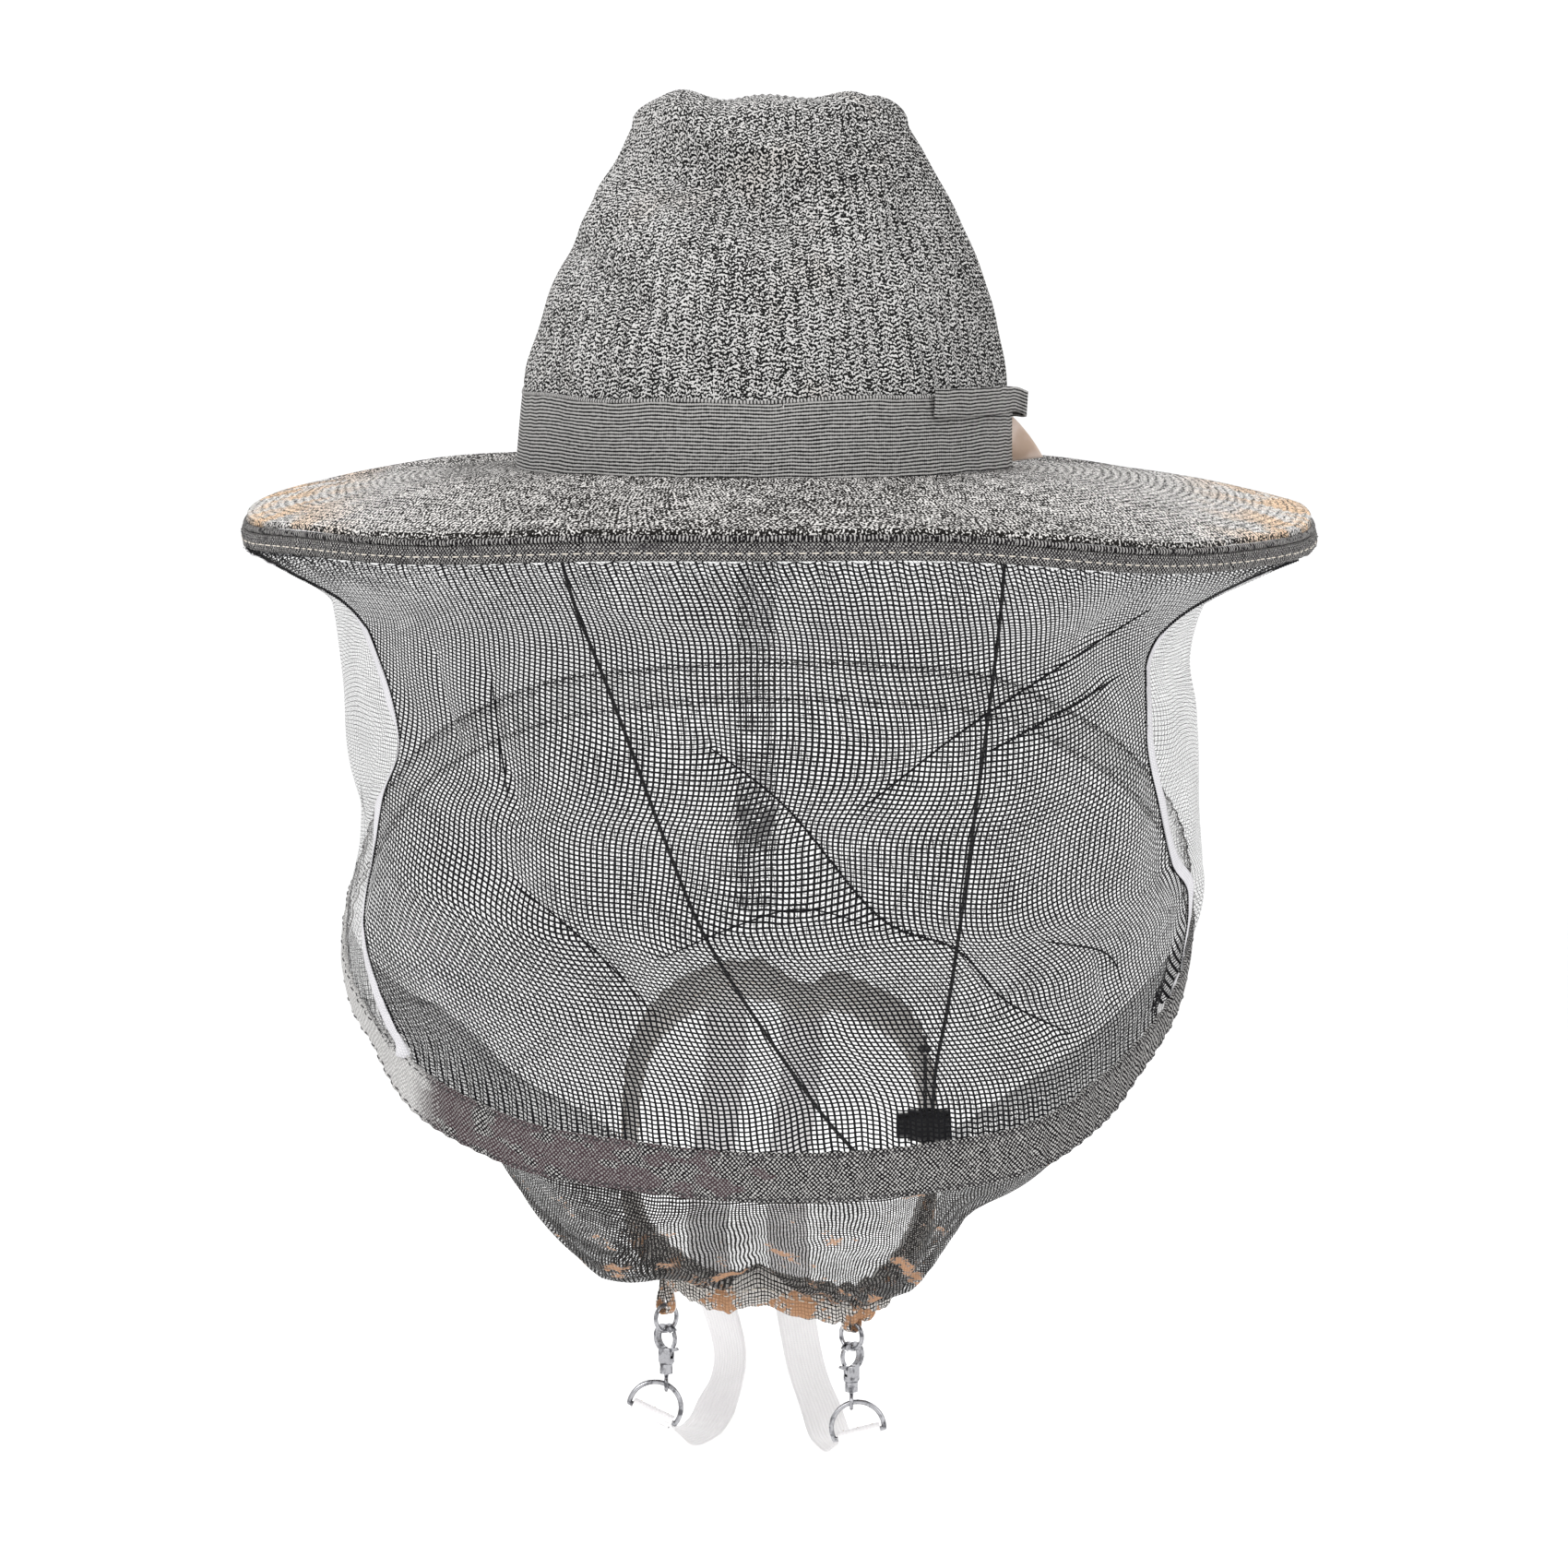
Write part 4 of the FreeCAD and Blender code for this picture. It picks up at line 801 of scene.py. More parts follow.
angle, crown_points = crown_surface(RIBS * 8, 150, 46)
normal = normals_of(crown_points, True)
crown_push = crown_folds(crown_points)
rib_wave = 0.45 * np.cos(RIBS * angle)[None, :] * ease(140.0, 124.0, crown_points[..., 2])
crown_points = crown_points + normal * (rib_wave - crown_push)[..., None] * np.sign(
    np.sum(normal[2] * crown_points[2] * [1, 1, 0], axis=1).mean())
crown_points[..., 2] += peaks(crown_points)
crown_points[..., 0] += lean(crown_points[..., 2])
crown_run = lengths_along(crown_points, 0).mean(axis=1)
crown_uv = crossed(np.linspace(0, RIBS, RIBS * 8 + 1), crown_run / KNIT_ROW)
crown = thicken(grid("crown_knit", crown_points, STRAW, crown_uv, wrap=True), 1.5)
fit(crown, "straw", "crown")


# ---------------------------------------------------------------- brim

def brim_point(angle, share):
    """A point on the brim's top, from the crown (0) to the rim (1)."""
    inner_x, inner_y = superellipse(angle, BASE_X + 0.6, BASE_Y + 0.6, 2.0)
    outer_x, outer_y = superellipse(angle, BRIM_HALF, BRIM_HALF, 2.0)
    x = between(inner_x + lean(0) * (1 - share), outer_x, share)
    y = between(inner_y, outer_y, share)
    fall = smooth((0.0, 0.35, 0.7, 1.0), (0.0, 0.22, 0.62, 1.0), share)
    sag = (1.6 * np.sin(2 * angle + 1.1) * np.sin(math.pi * share)
           + 1.1 * np.sin(7 * angle) * share * (1 - share) * 2)
    return np.stack([x, y, fall * brim_edge(angle) + sag], -1)


BRIM_RINGS = 34
brim_angle = full_turn(720)
brim_share = np.linspace(0, 1, BRIM_RINGS * 3 + 1)
brim_points = np.array([brim_point(brim_angle, share) for share in brim_share])
ring_wave = 0.28 * np.cos(TAU * brim_share * BRIM_RINGS)
brim_points[..., 2] += ring_wave[:, None] + 0.35 * noise(brim_points, 22.0, 8)
brim_uv = crossed(np.linspace(0, 600, 721), brim_share * BRIM_RINGS)
brim = thicken(grid("brim_knit", brim_points, STRAW_BRIM, brim_uv, wrap=True), 2.2)
fit(brim, "straw", "brim")

# a rolled edge finishes the rim
rim_line = np.array([brim_point(a, 1.0) for a in np.linspace(0, TAU, 541)]) + [0, 0, -1.0]
rim_edge = tube("brim_rolled_edge", rim_line, 1.2, BINDING, around=10, capped=False)
fit(rim_edge, "dark_binding")


# ---------------------------------------------------------------- bands at the head opening

def band_points(inset, low, high, rows, waviness, columns=540):
    """A band standing on the crown's foot: outside it for a negative inset, inside for a positive one."""
    angle = full_turn(columns)
    made = []
    for z in np.linspace(low, high, rows):
        half_x, half_y = crown_half(np.clip(z, 0, CROWN_LEVELS[-1]))
        x, y = superellipse(angle, half_x - inset, half_y - inset, 2.0)
        share = (z - low) / (high - low)
        sway = waviness * (0.8 * np.sin(5 * angle + 0.4) + 0.6 * np.sin(11 * angle + 1.9)) * share
        out = 1 + sway / 95.0
        lift = waviness * 1.1 * np.sin(2 * angle + 2.4) + waviness * 0.5 * np.sin(9 * angle) * share
        made.append(np.stack([x * out + lean(z), y * out, z + lift], 1))
    return np.array(made)


def band_uv(points):
    """UV in mm round a ring of columns and up its rows."""
    around = lengths_along(points, 1).mean(axis=0)
    step = around[-1] / (len(around) - 1)
    around = np.append(around, around[-1] + step)
    up = lengths_along(points, 0).mean(axis=1)
    return crossed(around, up)


def band_mesh(name, points, material, thickness):
    return thicken(grid(name, points, material, band_uv(points), wrap=True), thickness, 0)


hat_band_points = band_points(-1.1, 0.8, 28.6, 24, 0.9)
hat_band = band_mesh("hat_band_ribbon", hat_band_points, RIBBON, 0.8)
fit(hat_band, "band_ribbon", "hat_band")

sweat_points = band_points(3.0, 0.4, 28.0, 16, 0.3)
sweat = band_mesh("sweatband_twill", sweat_points, SWEAT, 0.9)
fit(sweat, "sweat_cloth", "sweatband")

# a turned edge along the bottom and the top of the band; the bottom one, against the brim, takes a darker
# copy of the ribbon as painted shade
for label, row, material in (("hat_band_lower_edge", 0, RIBBON_PAINTED_SHADE), ("hat_band_upper_edge", -1, RIBBON)):
    edge = tube(label, closed(hat_band_points[row])[::2], 0.75, material, around=8, capped=False)
    fit(edge, "band_ribbon")


def ribbon_sheet(name, line, across, width, material, thickness=0.7, rows=12, ribs_along=False):
    """A ribbon along a polyline in mm; across[i] is the direction of its width and width[i] how wide it is.
    Ribs run across the ribbon unless ribs_along is set."""
    line, across = np.asarray(line, float), np.asarray(across, float)
    across = unit(across)
    width = np.broadcast_to(np.asarray(width, float), (len(line),))
    offsets = np.linspace(-0.5, 0.5, rows)
    points = line[:, None, :] + across[:, None, :] * (offsets[None, :] * width[:, None])[..., None]
    run = lengths_along(line[:, None, :], 0)[:, 0]
    uv = np.stack(np.broadcast_arrays(offsets[None, :] * width[:, None], run[:, None]), 2)
    uv = uv[..., ::-1] if ribs_along else uv
    return thicken(grid(name, points, material, uv), thickness, 0)


def resample(points, count):
    """A smooth curve through a few points (Catmull-Rom), with evenly spaced samples."""
    p = np.asarray(points, float)
    padded = np.concatenate([[2 * p[0] - p[1]], p, [2 * p[-1] - p[-2]]])
    dense = []
    for i in range(1, len(padded) - 2):
        a, b, c, d = padded[i - 1:i + 3]
        for t in np.linspace(0, 1, 24, endpoint=False):
            dense.append(0.5 * (2 * b + (c - a) * t + (2 * a - 5 * b + 4 * c - d) * t * t
                                + (3 * b - a - 3 * c + d) * t ** 3))
    dense.append(p[-1])
    dense = np.array(dense)
    run = run_along(dense)
    at = np.linspace(0, run[-1], count)
    return points_at(at, run, dense)


# the ribbon's end lies along the band and folds into a loop on the wearer's left, with a flared satin
# tail below it; the soft crown leans away from their boxes, and both go with it
BOW_SHIFT, TAIL_SHIFT = -11.0, -13.0
bow_low, bow_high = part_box("band_bow")
bow_x0, bow_x1 = bow_low.x / MM + BOW_SHIFT, bow_high.x / MM + BOW_SHIFT
bow_z = centre_of("band_bow")[2]
beside = hat_band_points[12]
beside = beside[(beside[:, 1] < -12) & (beside[:, 0] > 52)]
beside = beside[np.argsort(beside[:, 1])][::12] * (1.02, 1.02, 0) + (0, 0, bow_z + 2.0)
loop_line = resample([*beside, (bow_x1 - 3.0, -7.5, bow_z + 1.4), (bow_x1 - 0.5, -4.0, bow_z + 0.2),
                      (bow_x1 - 0.6, 1.8, bow_z - 0.4), (bow_x1 - 3, 4.2, bow_z),
                      (bow_x0 + 4, 6.0, bow_z)], 96)
loop_width = smooth((0, 0.5, 0.8, 1.0), (9.8, 9.8, 8.6, 10.0), np.linspace(0, 1, 96))
loop_across = np.stack([np.full(96, 0.05), np.linspace(0.0, -0.25, 96), np.full(96, 1.0)], 1)
bow = ribbon_sheet("band_folded_loop", loop_line, loop_across, loop_width, RIBBON, 0.9, ribs_along=True)
fit(bow, "band_ribbon_dark", "band_bow")

tail_low, tail_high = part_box("band_tail")
tail_x0, tail_z1 = tail_low.x / MM + TAIL_SHIFT, tail_high.z / MM + 3.0
tail_line = resample([(tail_x0 + x, y, tail_z1 + z) for x, y, z in (
    (-3.5, -7.0, 2.0), (1.5, -8.0, -3.5), (5.0, -8.6, -9.0), (7.0, -8.0, -13.5), (8.2, -6.6, -17.0))], 26)
tail_width = smooth((0, 0.4, 1.0), (8.5, 12.0, 17.0), np.linspace(0, 1, 26))
tail_across = np.stack([np.full(26, 1.0), 0.35 * np.sin(np.linspace(0, 3, 26)), np.full(26, 0.12)], 1)
tail = ribbon_sheet("band_satin_tail", tail_line, tail_across, tail_width, SATIN, 0.7, rows=16)
fit(tail, "band_tail_ribbon", "band_tail")


# ---------------------------------------------------------------- net

NET_SHARES = (0.0, 0.14, 0.32, 0.65, 1.0)
NET_X = (189.4, 156.5, 151.5, 148.5, 147.0)
NET_Y = (189.4, 172.0, 163.0, 148.0, 138.0)
NET_POWERS = (2.0, 2.1, 2.3, 2.4, 2.6)
# how far round from the side, in degrees, the front panel is sewn to the back panel, by share of the drop
SEAM_SHARES = (0.0, 0.16, 0.36, 0.5, 0.64, 0.78, 0.9, 1.0)
SEAM_RIGHT_HAND = (12, 29, 36, 30, 26, 25, 30, 35)
SEAM_LEFT_HAND = (16, 28, 35, 32, 27, 17, 15, 18)


def net_point(angle, share):
    half_y = smooth(NET_SHARES, NET_Y, share)
    half_x, power = smooth(NET_SHARES, NET_X, share), smooth(NET_SHARES, NET_POWERS, share)
    x, y = superellipse(angle, half_x, half_y, power)
    y = y + SEAM_CY * share
    top = brim_edge(angle) - 8.3
    seam_y = SEAM_CY + (y - SEAM_CY * share) * SEAM_Y / half_y
    bottom = seam_level(seam_y) + SEAM_HALF_BAND - 3.0
    return np.stack([x, y, between(top, bottom, share)], -1)


EYE_DISTANCE, EYE_LEVEL = 2000, 80      # how far off and how high the front is looked at from


def seen_from_front(px, pz, depth):
    """A point given by where it shows from the front, put at its depth y."""
    near = (EYE_DISTANCE + depth) / EYE_DISTANCE
    return px * near, (pz - EYE_LEVEL) * near + EYE_LEVEL


# folds of the front panel: lines from the front, depth in mm, width in mm and width of the doubled net strip,
# darker partly as painted shade in the crease
FRONT_FOLDS = (
    ([(-24, -97), (3, -119), (36, -159), (64, -172), (82, -192), (106, -206)], -4.2, 7.0, 1.5),
    ([(-44, -174), (-15, -161), (9, -155), (38, -163)], 3.6, 8.0, 0.8),
    ([(29, -119), (73, -86), (135, -51)], -3.6, 8.0, 1.3),
    ([(75, -99), (91, -91), (124, -75)], -3.0, 6.0, 1.9),
    ([(-98, -148), (-79, -161), (-60, -178), (-44, -196)], -3.0, 8.0, 0.8),
    ([(-103, -73), (-97, -121)], -3.4, 9.0, 0.8),
    ([(-123, -66), (-118, -96)], -2.6, 6.0, 0.0),
    ([(95, -170), (120, -178), (128, -195)], -3.0, 6.0, 0.9),
    ([(-60, -45), (-20, -52), (40, -46), (90, -52)], 2.4, 10.0, 0.0),
)
# folds of the skirt's back seen through the net, running out from the neck opening: line, depth and width
BACK_FOLDS = (
    ([(-54, -196), (-79, -157), (-96, -121)], -4.0, 5.0),
    ([(7, -172), (5, -121)], -3.6, 5.0),
    ([(35, -214), (47, -170), (58, -132)], -4.2, 5.0),
    ([(-20, -178), (-30, -140), (-36, -110)], 2.6, 6.0),
    ([(70, -178), (92, -140)], -3.0, 6.0),
)


# where the hung veil's left and right outlines stand from its plain oval, by height as seen from the front
OUTLINE_LEVELS = (-240.0, -222.0, -208.0, -192.0, -171.0, -157.0, -130.0, -117.0, -85.0, -66.0, -45.0, -20.0)
OUTLINE_RIGHT_HAND = (0.0, 0.0, 0.0, -4.5, -7.0, -6.6, -3.0, -3.2, -3.2, -3.2, -2.0, 0.0)
OUTLINE_LEFT_HAND = (-12.0, -12.0, -9.5, -5.5, -2.0, -0.5, 0.0, -0.5, -5.0, -10.0, -6.0, 0.0)


def settle(points):
    """Moves the sides of the hung cloth in or out to the outline it settles into."""
    x, y = points[..., 0], points[..., 1]
    seen = (points[..., 2] - EYE_LEVEL) * EYE_DISTANCE / (EYE_DISTANCE + y) + EYE_LEVEL
    moved = points.copy()
    moved[..., 0] += ease(-85.0, -140.0, x) * smooth(OUTLINE_LEVELS, OUTLINE_RIGHT_HAND, seen)
    moved[..., 0] += ease(85.0, 140.0, x) * smooth(OUTLINE_LEVELS, OUTLINE_LEFT_HAND, seen)
    return moved


def drape(points, normal, share, seed):
    """Soft swells and slack all over the net, more of it in the middle."""
    slack = np.sin(math.pi * np.clip(share, 0, 1)) ** 0.6
    moved = 3.4 * noise(points, 52.0, seed) + 1.4 * noise(points, 20.0, seed + 1)
    out = points + normal * (moved * slack)[..., None]
    out[..., 0] += 2.2 * noise(points, 30.0, seed + 2) * slack
    out[..., 2] += 2.2 * noise(points, 30.0, seed + 3) * slack
    return out


def pleats(angle, share, count, depth):
    """Small gathers where the net is sewn to its binding and to the seam band."""
    near_top = np.exp(-share / 0.05)
    near_low = np.exp(-(1 - share) / 0.07)
    wave = np.cos(count * angle + 2.0 * np.sin(7 * angle)) + 0.5 * np.cos(0.37 * count * angle + 1.0)
    return depth * wave * (near_top + near_low)


def outward(points, normal, centre_y=0.0):
    """Turns a grid's normals to face away from the Z axis."""
    away = points[..., 0] * normal[..., 0] + (points[..., 1] - centre_y) * normal[..., 1]
    return normal * np.sign(away.mean())


def net_panel(name, start, end, rows, columns, seed, front):
    """One panel of the net between two side seams, given as angles in degrees for each share."""
    share = np.linspace(0, 1, rows)[:, None]
    across = np.linspace(0, 1, columns)[None, :]
    low = np.radians(start(share))
    high = np.radians(end(share))
    angle = between(low, high, across)
    points = net_point(angle, np.broadcast_to(share, angle.shape))
    normal = outward(points, normals_of(points, False))
    full = np.broadcast_to(share, angle.shape)
    uv = np.stack([lengths_along(points, 1), lengths_along(points, 0)], 2)
    uv[..., 0] -= uv[..., 0][:, columns // 2][:, None]
    push = pleats(angle, full, 150, 0.7)
    edge = ease(0.0, 0.04, across) * ease(1.0, 0.96, across)
    if front:
        for line, depth, width, _ in FRONT_FOLDS:
            placed = [seen_from_front(px, pz, -140.0) for px, pz in line]
            away = polyline_distance(points[..., 0], points[..., 2], placed)
            push = push + depth * np.exp(-away / width) * edge
    points = settle(drape(points, normal, full * edge, seed) + normal * push[..., None])
    # slack cloth lets its threads bend
    warp = 1.3 * noise(points, 26.0, seed + 7) + push * 0.35
    uv[..., 0] += warp
    uv[..., 1] += 1.3 * noise(points, 24.0, seed + 9) - push * 0.3
    panel = grid(name, points, NET if front else NET_BACK, uv)
    fit(panel, "black_net")
    return panel, points


def right_seam(share):
    return 180 + smooth(SEAM_SHARES, SEAM_RIGHT_HAND, share)


def left_seam(share):
    return -smooth(SEAM_SHARES, SEAM_LEFT_HAND, share)


net_front, front_points = net_panel("net_front_panel", right_seam, lambda share: 360 + left_seam(share),
                                    120, 300, 11, True)
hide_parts("net_front")
net_back, back_points = net_panel("net_back_panel", left_seam, right_seam, 110, 420, 23, False)
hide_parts("net_back")


def resting_on(points, line, depth):
    """A line drawn from the front laid on a grid of points, as a dense polyline in mm."""
    flat = resample([seen_from_front(px, pz, depth) for px, pz in line], 70)
    laid = []
    for px, pz in flat:
        away = (points[..., 0] - px) ** 2 + (points[..., 2] - pz) ** 2
        near = np.unravel_index(np.argmin(away), away.shape)
        laid.append((px, points[near][1], pz))
    laid = np.array(laid)
    kernel = np.hanning(9) / np.hanning(9).sum()
    laid[:, 1] = np.convolve(np.pad(laid[:, 1], 4, mode="edge"), kernel, mode="valid")
    return laid


# where a fold is sharp a strip of denser net runs along it, partly the net lying double and partly painted
# shade in the crease
for number, (line, _, _, double) in enumerate(FRONT_FOLDS):
    if double:
        laid = resting_on(front_points, line, -140.0) + [0.0, -0.5, 0.0]
        along = np.gradient(laid, axis=0)
        across = np.cross(along, [0.0, 1.0, 0.0])
        taper = 0.75 * double * np.sin(np.linspace(0.12, math.pi - 0.12, 70)) ** 0.5
        fold = ribbon_sheet(f"net_front_fold_{number}", laid, across, taper, NET_FOLD, 0.15, rows=3)
        fit(fold, "black_net")


# the side seams: the front panel's dark edge over a pale facing on the back panel, wide in some places
FACING_LEVELS = (-205.0, -185.0, -165.0, -135.0, -128.0, -112.0, -104.0, -84.0, -76.0, -48.0, -40.0)
FACING_WIDTHS = {
    "right": (7.0, 5.0, 3.0, 1.2, 5.5, 5.5, 1.2, 1.0, 6.0, 6.0, 1.0),
    "left": (1.0, 1.0, 1.2, 6.0, 6.5, 5.5, 4.0, 3.5, 3.0, 4.0, 1.0),
}
for hand, front_edge, back_side in (("right", front_points[:, 0], back_points[:, ::-1]),
                                    ("left", front_points[:, -1], back_points)):
    line = resample(front_edge[::6], 90)
    outside = unit(line * [1, 1, 0])
    across = np.cross(np.gradient(line, axis=0), outside)
    seam = ribbon_sheet(f"net_side_seam_{hand}", line + outside * 0.5, across, 1.1, NET_FOLD, 0.5, rows=4)
    fit(seam, "dark_binding")
    strip = []
    for row in back_side[:, :12]:
        run = run_along(row)
        wide = float(smooth(FACING_LEVELS, FACING_WIDTHS[hand], row[0, 2]))
        strip.append(points_at(wide * np.arange(6) / 5, run, row))
    strip = np.array(strip)
    strip += unit(strip * [1, 1, 0]) * 0.6
    strip_uv = np.stack([lengths_along(strip, 1), lengths_along(strip, 0)], 2)
    facing = thicken(grid(f"net_side_facing_{hand}", strip, FACING, strip_uv), 0.4, 0)
    fit(facing, "dark_binding")


# ---------------------------------------------------------------- binding at the brim

def binding_point(angle, out, drop):
    x, y = superellipse(angle, BRIM_HALF + 0.6 + out, BRIM_HALF + 0.6 + out, 2.0)
    return np.stack([x, y, brim_edge(angle) - drop], -1)


bind_angle = full_turn(900)
# the folded tape's section: how far out and how far below the rim
profile = ((-2.0, 3.4), (-0.5, 2.3), (0.5, 2.6), (0.7, 4.0), (0.5, 5.6), (0.2, 7.4), (-0.6, 8.0), (-1.2, 7.2))
bind_points = np.array([binding_point(bind_angle, out, drop) for out, drop in profile])
ripple = 0.45 * np.cos(150 * bind_angle + 1.2 * np.sin(9 * bind_angle)) + 0.35 * np.cos(53 * bind_angle)
away = unit(bind_points * [1, 1, 0])
bind_points += away * (ripple[None, :] * np.linspace(0.2, 1.0, len(profile))[:, None])[..., None]
binding = band_mesh("net_binding_tape", bind_points, BINDING, 0.6)
fit(binding, "dark_binding", "net_binding")

stitch_rings("binding_stitches", bind_points, away, (("upper", 3, THREAD_DARK), ("lower", 4, THREAD_PALE)),
             "dark_binding", length=2.6, gap=1.6, radius=0.26, lift=0.25)


# ---------------------------------------------------------------- seam band and back tape

def seam_loop_point(angle, out, rise):
    x, y = superellipse(angle, SEAM_X + out, SEAM_Y + out, SEAM_POWER)
    y = y + SEAM_CY
    return np.stack([x, y, seam_level(y) + rise], -1)


band_angle = full_turn(720)
band_rise = np.linspace(SEAM_HALF_BAND, -SEAM_HALF_BAND, 14)
sway = 0.9 * np.sin(6 * band_angle + 0.8) + 0.6 * np.sin(13 * band_angle)
seam_points = np.array([seam_loop_point(band_angle, 0.9 + 0.5 * math.sin(math.pi * i / 13), rise)
                        for i, rise in enumerate(band_rise)])
seam_points[..., 2] += sway[None, :] * 0.8
seam_points = settle(seam_points)
seam_away = outward(seam_points, normals_of(seam_points, True), SEAM_CY)
seam_points += seam_away * (0.4 * np.cos(110 * band_angle + np.sin(5 * band_angle)))[None, :, None]
seam_band = band_mesh("seam_band_tape", seam_points, SEAM, 1.0)
fit(seam_band, "dark_binding", "seam_band")
stitch_rings("seam_band_stitches", seam_points, seam_away,
             (("upper", 1, THREAD_DARK), ("lower", 12, THREAD_DARK)), "dark_binding",
             length=2.4, gap=1.4, radius=0.26, lift=0.55)


# ---------------------------------------------------------------- skirt and hem

SKIRT_BELLY, SKIRT_CLEAR = 0.3, 4.3


def skirt_point(angle, share):
    """From under the seam band (0) down and in to the hem casing (1)."""
    full = between(1 - share, np.cos(share * math.pi / 2), SKIRT_BELLY)
    drop = between(share, np.sin(share * math.pi / 2), SKIRT_BELLY)
    power = between(NECK_POWER, SEAM_POWER, full)
    half_y = between(NECK_Y + SKIRT_CLEAR, SEAM_Y, full)
    middle = between(NECK_CY, SEAM_CY, full)
    x, y = superellipse(angle, between(NECK_X + SKIRT_CLEAR, SEAM_X, full), half_y, power)
    part = y / half_y
    y = y + middle
    top = seam_level(SEAM_CY + part * SEAM_Y) - SEAM_HALF_BAND - 0.4
    low = neck_level(NECK_CY + part * NECK_Y) - 4.0
    tuck = 4.0 * np.clip(1 - share / 0.05, 0, 1)
    return np.stack([x, y, between(top, low, drop) + tuck], -1)


HEM_GATHERS = 46


def hem_wave(angle):
    """How much each gather stands out round the hem; uneven, and deeper at the front notch."""
    uneven = 1 + 0.45 * np.sin(5 * angle + 0.7) + 0.35 * np.sin(11 * angle + 2.1)
    return uneven * np.cos(HEM_GATHERS * angle + 1.6 * np.sin(4 * angle))


def hem_sag(x, y):
    """How far the soft hem hangs from its plain oval: a notch and a low side in front, two lobes behind."""
    front = ease(-10.0, -40.0, y)
    back = ease(20.0, 55.0, y)
    return (front * (4.0 * bump(x, -7.0, 8.0) - 5.0 * bump(x, 28.0, 14.0) + 3.0 * bump(x, -40.0, 14.0))
            + back * (2.0 * bump(x, -16.0, 18.0) - 8.0 * bump(x, 9.0, 8.0) - 3.0 * bump(x, 34.0, 12.0)))


# the front of the skirt as it hangs, seen from the front: its left and right outlines below the seam band
SKIRT_OUTLINE = (
    (-131, -227), (-117, -237.6), (-105, -245), (-96, -259), (-84, -274), (-72, -286), (-61, -295),
    (-49, -301), (-36, -303), (0, -306), (31, -309), (47.5, -300), (52.5, -290.7), (59.4, -280),
    (68.6, -267.6), (81, -261.7), (96.4, -251.5), (112.5, -235), (124, -222.4), (135.6, -204))
SKIRT_MIDDLE = (0.0, -190.0)


def fill_out(points, share):
    """Puffs the skirt out, or draws it in, to the outline it hangs in; its two sewn edges stay put."""
    near = (EYE_DISTANCE + points[..., 1]) / EYE_DISTANCE
    sx = points[..., 0] / near - SKIRT_MIDDLE[0]
    sz = (points[..., 2] - EYE_LEVEL) / near + EYE_LEVEL - SKIRT_MIDDLE[1]
    turn, reach = np.arctan2(sz, sx), np.hypot(sx, sz)
    wanted = np.array(SKIRT_OUTLINE, float) - SKIRT_MIDDLE
    slots = np.linspace(-math.pi * 0.95, -math.pi * 0.05, 61)
    has = np.array([reach[np.abs(turn - slot) < 0.05].max() for slot in slots])
    has = np.convolve(np.pad(has, 2, mode="edge"), np.ones(5) / 5, mode="valid")
    wants = np.interp(slots, np.arctan2(wanted[:, 1], wanted[:, 0]), np.hypot(wanted[:, 0], wanted[:, 1]))
    sides = np.clip((np.abs(slots + math.pi / 2) - 0.30) / 0.25, 0, 1)
    grow = np.clip(np.interp(turn, slots, (wants - has) * sides), -12, 28)
    full = np.interp(turn, slots, has)
    held = np.clip(share / 0.12, 0, 1) * (1 - share ** 8)
    moved = grow * ease(0.45, 1.0, reach / full) * held * ease(30.0, -10.0, points[..., 1])
    out = points.copy()
    out[..., 0] += moved * np.cos(turn) * near
    out[..., 2] += moved * np.sin(turn) * near
    return out


def skirt_panel(name, start, end, rows, columns, seed):
    share = np.linspace(0, 1, rows)[:, None]
    angle = np.radians(np.linspace(start, end, columns))[None, :] + np.zeros((rows, 1))
    full = np.broadcast_to(share, angle.shape)
    points = skirt_point(angle, full)
    normal = outward(points, normals_of(points, False), 8.0)
    uv = np.stack([lengths_along(points, 1), lengths_along(points, 0)], 2)
    uv[..., 0] -= uv[..., 0][:, columns // 2][:, None]
    slack = np.sin(math.pi * full) ** 0.7
    gather = hem_wave(angle) * (1.5 * full ** 1.6 + 0.15)
    large = 3.0 * noise(points, 42.0, seed) * slack
    front = ease(-20.0, -60.0, points[..., 1])
    notch = front * bump(points[..., 0], -8.0, 9.0) * full ** 2
    push = gather + large - 4.0 * notch
    radial = polyline_distance(points[..., 0], points[..., 2], [(-8, -254), (-6, -292)])
    push = push - 2.4 * front * np.exp(-radial / 7.0) * full
    if start == 0:
        for line, depth, width in BACK_FOLDS:
            placed = [seen_from_front(px, pz, 105.0) for px, pz in line]
            away = polyline_distance(points[..., 0], points[..., 2], placed)
            push = push - depth * np.exp(-away / width) * slack
    points = settle(points + normal * push[..., None])
    if start == 180:
        points = fill_out(points, full)
    points[..., 2] += hem_sag(points[..., 0], points[..., 1]) * full ** 2
    uv[..., 0] += 1.5 * noise(points, 22.0, seed + 3) + push * 0.5
    uv[..., 1] += 1.5 * noise(points, 22.0, seed + 4)
    panel = grid(name, points, SKIRT if start == 180 else SKIRT_BACK, uv)
    fit(panel, "skirt_cloth")
    return panel, points


skirt_front, skirt_front_points = skirt_panel("skirt_front_panel", 180, 360, 100, 460, 31)
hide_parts("skirt_front")
skirt_back, skirt_back_points = skirt_panel("skirt_back_panel", 0, 180, 90, 460, 37)
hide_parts("skirt_back")

